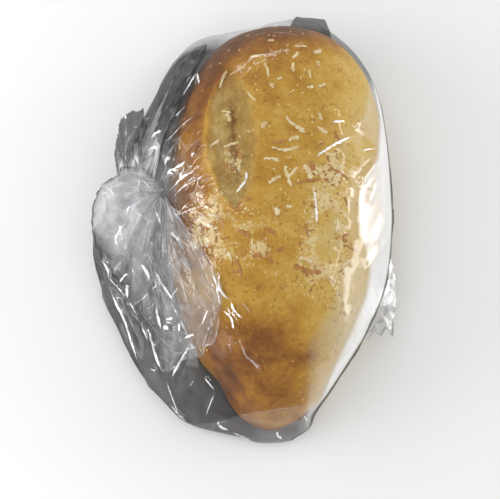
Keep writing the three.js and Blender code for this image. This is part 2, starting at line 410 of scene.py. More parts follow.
# Where the grated cheese gathered on the plan: middle, reach and how thick it lies
cheeseSpots = [
    ((-13, -10), (8, 13), 0.95),
    ((3, -16), (13, 9), 0.5),
    ((31, -9), (7, 15), 1.1),
    ((34, 12), (7, 5), 0.75),
    ((27, -26), (9, 6), 0.5),
    ((-3, 15), (4, 7), 0.5),
    ((15, 60), (20, 12), 0.05),
    ((15, 22), (14, 20), 0.10),
]
cheeseThin = 0.012  # share of the full thickness elsewhere on the crown


def loafAt(y):  # half width, crown height, base height and axis at places along the frame's Y
    along = y - shift[1] - loaf["widestY"]
    blunt = along > 0
    u = np.clip(along / np.where(blunt, loaf["bluntLength"], loaf["taperLength"]), -1, 1)
    half = loaf["width"] / 2 * np.where(
        blunt, superellipse(u, loaf["bluntPower"]), superellipse(u, loaf["taperPower"]))
    base = loaf["tipLift"] * np.abs(u) ** loaf["tipPower"]
    crown = np.where(blunt, superellipse(u, loaf["bluntCrownPower"]), superellipse(u, loaf["crownPower"]))
    crown = np.maximum(loaf["height"] * crown, base + loaf["leastHeight"])
    return half, crown, base, shift[0] + loaf["axisX"] + loaf["axisLean"] * u


def loafRing(y):
    half, crown, base, axis = (float(v) for v in loafAt(np.array(y)))
    waist = base + (crown - base) * loaf["waistShare"]
    steps = loaf["ring"]
    foot = half * loaf["footShare"]
    t = np.linspace(0, 1, steps["base"], endpoint=False)
    right = [np.column_stack([foot * t, np.full_like(t, base)])]
    t = np.linspace(1, 0, steps["foot"], endpoint=False)
    right.append(np.column_stack([
        half * (1 - (1 - loaf["footShare"]) * t ** loaf["footPower"]), waist - (waist - base) * t]))
    t = np.linspace(0, math.pi, steps["dome"], endpoint=False)
    dome = np.column_stack([
        half * np.cos(t), waist + (crown - waist) * superellipse(np.cos(t), loaf["domePower"])])
    left = np.vstack(right)[1:][::-1] * (-1, 1)
    start = np.array([[-half, waist]])
    ring = np.vstack(right + [dome, start, left])
    return np.column_stack([axis + ring[:, 0], np.full(len(ring), y), ring[:, 1]])


def loafGrid():  # rings from tip to tip, closer together at the ends
    turn = np.linspace(-math.pi / 2, math.pi / 2, loaf["stations"] + 2)[1:-1]
    low, high = loafTips
    ys = (low + high) / 2 + (high - low) / 2 * np.sin(turn) * loaf["tipShare"]
    return np.array([loafRing(y) for y in ys])


def scoreField(x, y):  # across the score from -1 to 1, along it from -1 to 1
    along = (y - score["middleY"]) / score["halfLength"]
    half = score["halfWidth"] * np.maximum(1 - along ** 2, 1e-4) ** score["tipPower"]
    return (x - score["middleX"] - score["drift"] * along) / half, along


def crackField(x, y, wobble):  # 1 on the crack in the score
    path = np.array(score["crack"])[::-1]
    lineX = np.interp(y, path[:, 1], path[:, 0]) + wobble
    near, far = (end[1] + np.array(fade) for end, fade in zip((path[0], path[-1]), score["crackFades"]))
    return hump(x, lineX, score["crackWidth"]) * smoothStep(*near, y) * (1 - smoothStep(*far, y))


def cheeseShare(points, up):  # how thick the cheese lies at places on the crust
    x, y = points[:, 0], points[:, 1]
    share = np.full(len(points), cheeseThin)
    for middle, reach, thick in cheeseSpots:
        share = share + thick * bell(x, y, middle, reach)
    streaks = 0.5 + 0.9 * lumps(points, 6.0, 21, 2)
    return np.clip(share * np.clip(streaks, 0, 1.6), 0, 1.3) * smoothStep(0.15, 0.5, up)


def crustMarks(flat, n):  # how much of each mark there is at places on the smooth loaf
    x, y, _ = flat.T
    upper = smoothStep(0.0, 0.35, n[:, 2])
    across, along = scoreField(x, y)
    across = across + score["ragged"] * lumps(flat, 4.5, 14, 3)
    inside = smoothStep(*score["edge"], np.abs(across)) * (np.abs(along) < 1) * upper
    crumb = (1 - 0.4 * smoothStep(0.1, 0.9, across)) * (1 - 0.5 * smoothStep(0.5, 0.95, along))
    lip = sum(share * hump(across, place, width) for place, width, share in score["lips"])
    fold, step, dent, bulge = (loaf[name] for name in ("crease", "ledge", "dent", "bulge"))
    ledge = hump(x, step["x"] + (step["y"] - y) * step["slant"], step["reach"])
    return {
        "across": across,
        "inside": inside,
        "score": inside * crumb,
        "crack": crackField(x, y, score["crackSway"] * lumps(flat, 3.4, 3, 2)) * inside,
        "lip": lip * (np.abs(along) < score["lipEnd"]) * upper,
        "crease": bell(x, y, fold["middle"], fold["reach"], fold["turn"]) * upper,
        "ledge": ledge * smoothStep(*step["starts"], y) * (1 - smoothStep(*step["ends"], y)) * upper,
        "dent": hump(y, dent["y"], dent["reach"]) * smoothStep(-0.1, -0.7, n[:, 0]),
        "bulge": hump(y, bulge["y"], bulge["reach"]) * smoothStep(0.1, 0.7, n[:, 0]),
        "cheesy": cheeseShare(flat, n[:, 2]),
    }


def crustLift(flat, n, marks):  # how far the crust stands off the smooth loaf
    rough = lumps(flat, 2.2, 5, 2)
    lift = loaf["swell"] * lumps(flat, 26, 1, 2) + loaf["dimple"] * lumps(flat, 4.0, 2, 2)
    lift = lift * smoothStep(-0.9, -0.2, n[:, 2])  # the base stays flat
    bowl = np.maximum(0, 1 - marks["across"] ** 2) ** 0.35
    lift = lift - marks["inside"] * (score["depth"] * bowl - score["roughness"] * rough)
    lift = lift + score["lip"] * marks["lip"] - score["crackDepth"] * marks["crack"] * (1 + 0.5 * rough)
    lift = lift - sum(loaf[name]["depth"] * marks[name] for name in ("crease", "ledge", "dent"))
    lift = lift + loaf["bulge"]["height"] * marks["bulge"]
    return lift + loaf["melt"] * np.minimum(marks["cheesy"], 1) * (0.4 + lumps(flat, 2.0, 22, 2))


def browningAndShade(flat, marks):
    x, y, z = flat.T
    height = np.clip(z / loaf["height"], 0, 1)
    bake = bakingAndShade["level"] + bakingAndShade["blotches"] * lumps(flat, 9.0, 8, 3)
    bake = bake + bakingAndShade["seamSide"] * smoothStep(20, 44, x) + bakingAndShade["bluntEnd"] * smoothStep(54, 76, y)
    foot = (1 - smoothStep(0.10, 0.45, height)) * smoothStep(-66, -36, y) * smoothStep(70, 50, y)
    flankX = np.interp(y, *np.array(bakingAndShade["flankEdge"])[:, ::-1].T)
    flank = smoothStep(-3, 4, x - flankX) * smoothStep(2, -14, y)
    bake = bake + bakingAndShade["foot"] * foot + bakingAndShade["taperFlank"] * flank
    for middle, reach, turn, amount in bakingAndShade["spots"]:
        bake = bake + amount * bell(x, y, middle, reach, turn)
    bake = bake + bakingAndShade["crease"] * marks["crease"] + bakingAndShade["ledge"] * marks["ledge"]
    bake = bake + bakingAndShade["lip"] * marks["lip"] * smoothStep(-0.9, -1.05, marks["across"])
    half, _, _, axis = loafAt(y)
    # painted shade, darker towards the knot side of the loaf
    ends = bakingAndShade["paintedShadeBlunt"] * smoothStep(24, 58, y) + bakingAndShade["paintedShadeTaper"] * smoothStep(-28, -44, y)
    return bake + ends * smoothStep(-0.35, -0.75, (x - axis) / half)


def makeLoaf(material):
    grid = loafGrid()
    flat, n = grid.reshape(-1, 3), ringNormals(grid).reshape(-1, 3)
    marks = crustMarks(flat, n)
    raised = flat + n * crustLift(flat, n, marks)[:, None]
    raised[:, 2] = np.maximum(raised[:, 2], loaf["lowest"])
    points, faces = closedTube(raised.reshape(grid.shape))
    piece = makePiece("breadLoaf", points, faces, material)
    setFields(piece, bake=withPoles(browningAndShade(flat, marks)))
    for name in ("score", "crack", "cheesy"):
        setFields(piece, **{name: withPoles(marks[name])})
    return piece


crust = {
    "roughness": 0.5,
    "specular": 0.12,
    "browningAndShade": [(0.0, (200, 176, 116)), (0.28, (199, 163, 80)), (0.48, (181, 138, 50)),
                 (0.66, (156, 106, 30)), (0.84, (120, 72, 18)), (1.0, (90, 50, 13))],
    "crumb": [(0.25, (134, 104, 46)), (0.5, (156, 130, 70)), (0.75, (184, 162, 106))],
    "specks": (126, 72, 24),
    "tornCrumb": (124, 78, 30),
    "cheeseLace": (222, 202, 152),
    "cheesePits": (150, 94, 34),
    "cheeseGrains": (232, 214, 168),
    "bumpStrength": 0.35,
    "bumpHeight": 0.5,
}


def crustMaterial():
    material, tree = newMaterial("bakedCrust")
    out = addNode(tree, "ShaderNodeOutputMaterial")
    body = addNode(tree, "ShaderNodeBsdfPrincipled")
    body.inputs["Roughness"].default_value = crust["roughness"]
    body.inputs["Specular IOR Level"].default_value = crust["specular"]
    link(tree, body.outputs[0], out.inputs["Surface"])

    def stained(colour, share, amount, stain):
        return mixColour(tree, times(tree, share, amount), colour, tone(*crust[stain]))

    # Browning and the knot side's painted shade, with mottled noise on top
    broad = timesPlus(tree, noiseNode(tree, 6.0, 3.0), 0.36, -0.18)
    fine = timesPlus(tree, noiseNode(tree, 1.4, 4.0), 0.3, -0.15)
    bake = mathNode(tree, "ADD", mathNode(tree, "ADD", fieldNode(tree, "bake"), broad), fine)
    colour = rampNode(tree, bake, crust["browningAndShade"])

    # Toasted specks, in patches
    speckle = noiseNode(tree, 1.3, 2.0, 0.7)
    limit = timesPlus(tree, noiseNode(tree, 11.0, 2.0), -0.25, 0.72)
    specks = times(tree, mathNode(tree, "SUBTRACT", speckle, limit), 12.0, clamp=True)
    colour = stained(colour, specks, 0.6, "specks")

    # Open crumb in the score and the toasted crack along it
    crumbShade = timesPlus(tree, noiseNode(tree, 7.0, 2.0), 0.8, -0.4)
    crumbShade = mathNode(tree, "ADD", noiseNode(tree, 1.7, 5.0, 0.75, (1.0, 0.55, 1.0)), crumbShade)
    crumb = rampNode(tree, crumbShade, crust["crumb"])
    colour = mixColour(tree, times(tree, fieldNode(tree, "score"), 0.85), colour, crumb)
    torn = timesPlus(tree, noiseNode(tree, 1.3, 3.0), 4.0, -1.1, clamp=True)
    torn = times(tree, fieldNode(tree, "crack"), torn)
    colour = mixColour(tree, torn, colour, tone(*crust["tornCrumb"]))

    # Melted cheese: pale lace with toasted pits
    cheesy = mathNode(tree, "MINIMUM", fieldNode(tree, "cheesy"), 0.65)
    lace = timesPlus(tree, cheesy, 0.6, noiseNode(tree, 1.2, 4.0, 0.7))
    lace = timesPlus(tree, lace, 6.0, -3.9, clamp=True)
    colour = stained(colour, lace, 0.75, "cheeseLace")
    pits = timesPlus(tree, cheesy, 0.10, noiseNode(tree, 1.9, 2.0, 0.6, (1.0, 0.8, 1.3)))
    pits = timesPlus(tree, pits, 10.0, -6.4, clamp=True)
    pits = times(tree, pits, timesPlus(tree, cheesy, 1.4, 0.1, clamp=True))
    colour = stained(colour, pits, 0.75, "cheesePits")
    grains = timesPlus(tree, noiseNode(tree, 0.6, 1.0), 16.0, -11.6, clamp=True)
    colour = stained(colour, grains, 0.5, "cheeseGrains")
    link(tree, colour, body.inputs["Base Color"])

    bump = addNode(tree, "ShaderNodeBump")
    bump.inputs["Strength"].default_value = crust["bumpStrength"]
    bump.inputs["Distance"].default_value = crust["bumpHeight"] * mm
    link(tree, noiseNode(tree, 0.9, 4.0, 0.6), bump.inputs["Height"])
    link(tree, bump.outputs[0], body.inputs["Normal"])
    return material


breadLoaf = makeLoaf(crustMaterial())
loafTree = treeOf(breadLoaf)
print("loaf made", len(breadLoaf.data.polygons), "faces")


# Grated cheese that was baked onto the crust

cheese = {
    "paleShreds": {
        "density": 0.035, "length": 3.0, "width": 1.1, "thickness": 0.3, "ragged": 0.5, "seed": 4,
        "light": (224, 208, 166), "dark": (202, 174, 114),
    },
    "toastedShreds": {
        "density": 0.055, "length": 2.1, "width": 1.0, "thickness": 0.3, "ragged": 0.2, "seed": 11,
        "light": (176, 122, 54), "dark": (150, 96, 36),
    },
    "cheeseCrumbs": {
        "density": 0.6, "length": 0.7, "width": 0.55, "thickness": 0.25, "seed": 23,
        "light": (226, 208, 160), "dark": (204, 172, 110),
    },
    "toastedCrumbs": {
        "density": 0.13, "length": 1.0, "width": 0.8, "thickness": 0.25, "seed": 37,
        "light": (176, 122, 56), "dark": (150, 96, 40),
    },
}
# Larger shreds, one by one: ends in the picture's pixels, then width in millimetres
laidShreds = {
    "paleShreds": [
        ((268, 40), (274, 40), 1.3), ((250, 57), (261, 56), 1.4), ((293, 58), (298, 52), 1.4),
        ((293, 63), (294, 72), 1.3), ((314, 53), (321, 50), 1.8), ((317, 61), (319, 66), 1.5),
        ((307, 87), (313, 86), 1.4), ((318, 86), (325, 84), 1.3), ((265, 63), (269, 76), 0.9),
        ((277, 79), (282, 77), 1.0), ((270, 83), (274, 88), 1.1), ((248, 92), (256, 100), 0.9),
        ((220, 88), (227, 71), 1.0), ((286, 116), (297, 126), 1.1), ((296, 125), (305, 132), 1.9),
        ((289, 140), (299, 137), 1.4), ((272, 147), (299, 146), 1.1), ((264, 159), (279, 161), 1.1),
        ((285, 166), (292, 186), 1.2), ((304, 165), (310, 179), 2.0), ((269, 183), (281, 176), 1.2),
        ((261, 127), (266, 122), 1.7), ((275, 208), (279, 215), 1.7), ((224, 147), (239, 142), 1.1),
        ((226, 114), (231, 121), 1.8), ((318, 126), (327, 132), 1.6), ((319, 113), (321, 120), 1.4),
        ((232, 159), (240, 169), 4.6), ((198, 219), (213, 228), 1.6), ((228, 251), (231, 260), 1.2),
        ((300, 258), (312, 262), 1.4),
    ],
    "toastedShreds": [
        ((294, 265), (321, 272), 2.0), ((310, 161), (314, 175), 1.8), ((296, 183), (321, 179), 1.3),
        ((273, 143), (286, 140), 1.1), ((242, 197), (251, 199), 1.4), ((335, 131), (339, 142), 1.2),
        ((331, 169), (348, 179), 1.2), ((344, 197), (348, 206), 1.3), ((345, 245), (357, 251), 0.9),
        ((342, 238), (347, 241), 1.7), ((239, 230), (250, 236), 1.9), ((277, 251), (284, 248), 1.5),
        ((255, 255), (262, 256), 1.6), ((234, 258), (241, 278), 1.1), ((266, 227), (276, 233), 1.6),
    ],
}
# One shred's form, as shares of its own length and width
shred = {
    "points": 6,
    "sides": 6,
    "bend": 0.35,
    "tip": 0.6,
    "belly": 2.4,  # how much fuller its middle is
    "vary": {"Length": (0.45, 1.6), "Width": (0.7, 1.3), "Thickness": (0.7, 1.3)},
    "varySeed": 30,
    "grain": 420,
    "ragged": 0.9,
}
# A larger shred: steps along and round it, and its form as shares of its length, width and thickness
laid = {
    "steps": 14,
    "sides": 8,
    "sway": 0.12,
    "tip": 0.65,
    "uneven": (0.85, 1.15),
    "wander": 0.4,
    "middle": 0.15,  # height of its middle over the crust, and half its own height
    "rise": 0.6,
}


def cheeseMaterial(name, settings):
    material, tree = newMaterial(name)
    out = addNode(tree, "ShaderNodeOutputMaterial")
    body = addNode(tree, "ShaderNodeBsdfPrincipled")
    body.inputs["Roughness"].default_value = 0.45
    body.inputs["Specular IOR Level"].default_value = 0.4
    colour = rampNode(tree, noiseNode(tree, 2.2, 3.0), [(0.32, settings["dark"]), (0.62, settings["light"])])
    link(tree, colour, body.inputs["Base Color"])
    link(tree, body.outputs[0], out.inputs["Surface"])
    return material


def shredBody(tree):  # one shred: a bent strip, thinner at its ends
    strip = addNode(tree, "GeometryNodeCurvePrimitiveLine")
    strip.inputs["Start"].default_value = (-0.5, 0, 0)
    strip.inputs["End"].default_value = (0.5, 0, 0)
    points = addNode(tree, "GeometryNodeResampleCurve")
    points.inputs["Count"].default_value = shred["points"]
    link(tree, strip.outputs[0], points.inputs["Curve"])
    parts = addNode(tree, "ShaderNodeSeparateXYZ")
    link(tree, addNode(tree, "GeometryNodeInputPosition").outputs[0], parts.inputs[0])
    bend = times(tree, times(tree, parts.outputs[0], parts.outputs[0]), shred["bend"])
    offset = addNode(tree, "ShaderNodeCombineXYZ")
    link(tree, bend, offset.inputs[1])
    bent = addNode(tree, "GeometryNodeSetPosition")
    link(tree, points.outputs[0], bent.inputs["Geometry"])
    link(tree, offset.outputs[0], bent.inputs["Offset"])
    profile = addNode(tree, "GeometryNodeCurvePrimitiveCircle")
    profile.inputs["Resolution"].default_value = shred["sides"]
    profile.inputs["Radius"].default_value = 0.5
    along = addNode(tree, "GeometryNodeSplineParameter").outputs["Factor"]
    belly = times(tree, along, mathNode(tree, "SUBTRACT", 1.0, along))
    belly = times(tree, belly, shred["belly"])
    radius = addNode(tree, "GeometryNodeSetCurveRadius")
    link(tree, bent.outputs[0], radius.inputs["Curve"])
    link(tree, mathNode(tree, "ADD", belly, shred["tip"]), radius.inputs["Radius"])
    body = addNode(tree, "GeometryNodeCurveToMesh")
    body.inputs["Fill Caps"].default_value = True
    link(tree, radius.outputs[0], body.inputs["Curve"])
    link(tree, profile.outputs[0], body.inputs["Profile Curve"])
    return body.outputs[0]


def scatteredShreds(tree, source):  # over the crust, by the share that each place carries
    body = shredBody(tree)
    share = addNode(tree, "GeometryNodeInputNamedAttribute", data_type="FLOAT")
    share.inputs["Name"].default_value = "cheesy"
    spread = addNode(tree, "GeometryNodeDistributePointsOnFaces")
    link(tree, source.outputs["Geometry"], spread.inputs["Mesh"])
    density = times(tree, share.outputs["Attribute"], source.outputs["Density"])
    link(tree, density, spread.inputs["Density"])
    link(tree, source.outputs["Seed"], spread.inputs["Seed"])
    spin = addNode(tree, "FunctionNodeRandomValue", data_type="FLOAT")
    spin.inputs[3].default_value = 2 * math.pi
    link(tree, source.outputs["Seed"], spin.inputs["Seed"])
    turn = addNode(tree, "FunctionNodeAxisAngleToRotation")
    turn.inputs["Axis"].default_value = (0, 0, 1)
    link(tree, spin.outputs[1], turn.inputs["Angle"])
    aim = addNode(tree, "FunctionNodeRotateRotation", rotation_space="LOCAL")
    link(tree, spread.outputs["Rotation"], aim.inputs["Rotation"])
    link(tree, turn.outputs[0], aim.inputs["Rotate By"])
    size = addNode(tree, "ShaderNodeCombineXYZ")
    for k, (label, (least, most)) in enumerate(shred["vary"].items()):
        vary = addNode(tree, "FunctionNodeRandomValue", data_type="FLOAT")
        vary.inputs[2].default_value = least
        vary.inputs[3].default_value = most
        vary.inputs["Seed"].default_value = shred["varySeed"] + k
        link(tree, times(tree, vary.outputs[1], source.outputs[label]), size.inputs[k])
    place = addNode(tree, "GeometryNodeInstanceOnPoints")
    link(tree, spread.outputs["Points"], place.inputs["Points"])
    link(tree, body, place.inputs["Instance"])
    link(tree, aim.outputs[0], place.inputs["Rotation"])
    link(tree, size.outputs[0], place.inputs["Scale"])
    real = addNode(tree, "GeometryNodeRealizeInstances")
    link(tree, place.outputs[0], real.inputs[0])
    return real.outputs[0]


def shredTree(name):
    tree = bpy.data.node_groups.new(name, "GeometryNodeTree")
    tree.interface.new_socket("Geometry", in_out="INPUT", socket_type="NodeSocketGeometry")
    for label, kind in (("Density", "Float"), ("Seed", "Int"), ("Length", "Float"), ("Width", "Float"),
                        ("Thickness", "Float"), ("Ragged", "Float"), ("Finish", "Material")):
        tree.interface.new_socket(label, in_out="INPUT", socket_type="NodeSocket" + kind)
    tree.interface.new_socket("Geometry", in_out="OUTPUT", socket_type="NodeSocketGeometry")
    source, target = addNode(tree, "NodeGroupInput"), addNode(tree, "NodeGroupOutput")
    scattered = scatteredShreds(tree, source)

    # Melted, ragged outline
    grain = addNode(tree, "ShaderNodeTexNoise")
    grain.inputs["Scale"].default_value = shred["grain"]
    grain.inputs["Detail"].default_value = 1.5
    push = pushNode(tree, grain.outputs["Color"], source.outputs["Ragged"])
    melted = addNode(tree, "GeometryNodeSetPosition")
    link(tree, scattered, melted.inputs["Geometry"])
    link(tree, push, melted.inputs["Offset"])
    shaded = addNode(tree, "GeometryNodeSetShadeSmooth")
    link(tree, melted.outputs[0], shaded.inputs["Geometry"])
    finish = addNode(tree, "GeometryNodeSetMaterial")
    link(tree, shaded.outputs[0], finish.inputs["Geometry"])
    link(tree, source.outputs["Finish"], finish.inputs["Material"])
    link(tree, finish.outputs[0], target.inputs[0])
    return tree


def crustUnder(px, py):  # place on the crust, in millimetres, under a pixel of the picture
    spot, out, _, _ = loafTree.ray_cast(*pixelRay(px, py))
    return np.array(spot) / mm, np.array(out)


def laidShred(start, end, width, thickness, ragged, seed):  # strip that lies along the crust
    rng = np.random.default_rng(seed)
    start, end = np.array(start), np.array(end)
    t = np.linspace(0, 1, laid["steps"])
    sway = np.array((end[1] - start[1], start[0] - end[0])) * rng.uniform(-laid["sway"], laid["sway"])
    spots = [crustUnder(*(start * (1 - s) + end * s + sway * math.sin(math.pi * s))) for s in t]
    ahead = np.gradient(np.array([spot for spot, _ in spots]), axis=0)
    turn = np.linspace(0, 2 * math.pi, laid["sides"], endpoint=False)
    rise = thickness * (laid["middle"] + laid["rise"] * np.sin(turn))
    rings = []
    for (spot, out), along, s in zip(spots, ahead, t):
        side = np.cross(out, along)
        side = side / np.linalg.norm(side)
        half = width / 2 * (laid["tip"] + (1 - laid["tip"]) * math.sin(math.pi * s))
        half = half * (1 + ragged * rng.uniform(-1, 1))
        reach = half * np.cos(turn) * rng.uniform(*laid["uneven"], laid["sides"])
        reach = reach + laid["wander"] * ragged * width * rng.uniform(-1, 1)
        rings.append(spot + side * reach[:, None] + out * rise[:, None])
    return closedTube(np.array(rings))


def scatterOn(name, settings, tree, finish):  # points and faces of the shreds that are scattered
    sockets = {item.name: item.identifier for item in tree.interface.items_tree if item.in_out == "INPUT"}
    host = bpy.data.objects.new(name + "Host", breadLoaf.data.copy())
    bpy.context.scene.collection.objects.link(host)
    modifier = host.modifiers.new("scatter", "NODES")
    modifier.node_group = tree
    modifier[sockets["Density"]] = settings["density"] / mm ** 2
    modifier[sockets["Seed"]] = settings["seed"]
    modifier[sockets["Ragged"]] = settings["width"] * mm * shred["ragged"]
    for label in ("Length", "Width", "Thickness"):
        modifier[sockets[label]] = settings[label.lower()] * mm
    modifier[sockets["Finish"]] = finish
    depsgraph = bpy.context.evaluated_depsgraph_get()
    mesh = bpy.data.meshes.new_from_object(host.evaluated_get(depsgraph))
    points = np.array([v.co for v in mesh.vertices]) / mm
    faces = [list(face.vertices) for face in mesh.polygons]
    bpy.data.objects.remove(host)
    bpy.data.meshes.remove(mesh)
    return points, faces


def makeCheese():
    tree = shredTree("shredScatter")
    made = []
    for name, settings in cheese.items():
        finish = cheeseMaterial(name + "Finish", settings)
        scattered, faces = scatterOn(name, settings, tree, finish)
        points = [scattered]
        for k, place in enumerate(laidShreds.get(name, ())):
            seed = settings["seed"] * 100 + k
            addShape(points, faces, *laidShred(*place, settings["thickness"], settings["ragged"], seed))
        made.append(makePiece(name, np.vstack(points), faces, finish))
        print(name, len(faces), "faces")
    return made


cheesePieces = makeCheese()


# Film of the bag

film = {
    "gap": 0.8,
    "edgeRoll": 0.6,
    "knotSideEdge": [
        (3, -89, 4), (-12.5, -86, 4), (-24.5, -81, 5), (-40.5, -63.5, 5.5), (-49.5, -47, 6),
        (-58, -27, 8), (-59.96, -10, 14), (-51.5, 7, 20), (-46.5, 24, 18), (-35, 54.5, 13),
        (-27, 68, 13), (-20.5, 72.6, 13.5), (-11.5, 74.6, 14.5), (7, 78.2, 16),
    ],
    "seamSideEdge": [
        (21, -89, 4), (27.5, -85, 4.5), (29, -80, 7), (34, -73, 10), (42, -61, 12), (50, -48, 12),
        (58, -30, 11), (61.4, -8, 11), (61, 13, 13), (59.4, 33, 15), (56.8, 49, 16), (52.6, 59.7, 16),
        (45.4, 70, 17), (36.5, 77, 18), (34, 78.2, 18),
    ],
    "stations": 300,
    "ring": {"base": 26, "rise": 84, "fall": 146, "tuck": 30},
    "outline": {"dome": 361, "side": 12, "roll": 40},  # places that the film is drawn round
    "evened": 6,  # rounds that even out the steps between stations
    "endBulge": 1.8,
    "endTurns": 8,
    "endBlend": 14,  # stations over which the crumpling sets in
    "tipHold": 4.0,  # how far before the tapered tip the film leaves the loaf
    "clearance": 0.6,  # least distance from film to crust
    "lowest": 0.02,
    "hangs": (1.2, 8.0),  # gap to the crust at which the film starts to hang free, and does
    "calmSpot": (14, 30),  # it lies smooth over the score, this far
    "calm": 0.8,
    "seamTaut": (28, 42),  # and taut from here towards the seam
    "sway": 0.4,
    "neck": (-33.0, 5.0),  # where the bag is gathered, on the plan
    "neckDip": 2.0,
    "neckReach": 12.0,
}
# Grey tint of the film beside the bread, and haze, which is gathered film's own white
filmTint = {
    "top": 0.14,
    "under": 1.0,
    "shade": 0.86,  # share of it close to the loaf
    "shadeEnds": (1, 16),
    "seamLine": 0.64,
    "seamClear": 0.97,  # how much clearer the film is along the seam side
    "seamClearX": (40, 54),
    "tautInset": (18, 8),  # so is a strip beside the taper: how wide, and where it runs
    "tautStarts": (-82, -72),
    "tautEnds": (0, -30),
    "cornerClear": 0.3,  # and the corner by the tapered tip
    "dusk": ((-23, 57), (12, 30), -24),  # darkest beside the blunt end, part grey tint and part painted shadow of the loaf: middle, reach and turn
    "duskTop": 0.3,
    "duskHaze": 0.8,
    "gathered": (12, 22),  # full this far from the neck, then dies away over this
    "gatheredHaze": 0.10,
    "neckHaze": 0.45,
    "neckHazeSpot": ((-37.0, 8.0), (11.0, 12.0)),
}
# Small facets that tilt the gloss: how much at least, beside the loaf, near the neck and where the film lies
# double, and how many of them round the neck and out from it
filmCrinkle = {"least": 0.08, "beside": 0.14, "gathered": 0.25, "double": -0.05, "cells": (6.5, 2.2)}
doubleLimit = 0.1  # the film counts as double where it mirrors this much more
# Crumpled facets: their size, height where the film hangs free or clings, and most haze in one
crumple = {
    "broad": {"size": (13.0, 17.0), "free": 1.3, "cling": 0.55, "haze": 0.07, "seed": 31},
    "fine": {"size": (5.0, 6.5), "free": 0.5, "cling": 0.22, "haze": 0.05, "seed": 32},
}
# Folds that run out from the neck: width in radians, length as a ratio of radii
gather = {"width": 0.15, "ratio": 0.45, "height": 2.2, "least": 3.0, "reach": 24.0, "end": 40.0,
          "cling": 0.35, "seed": 33}
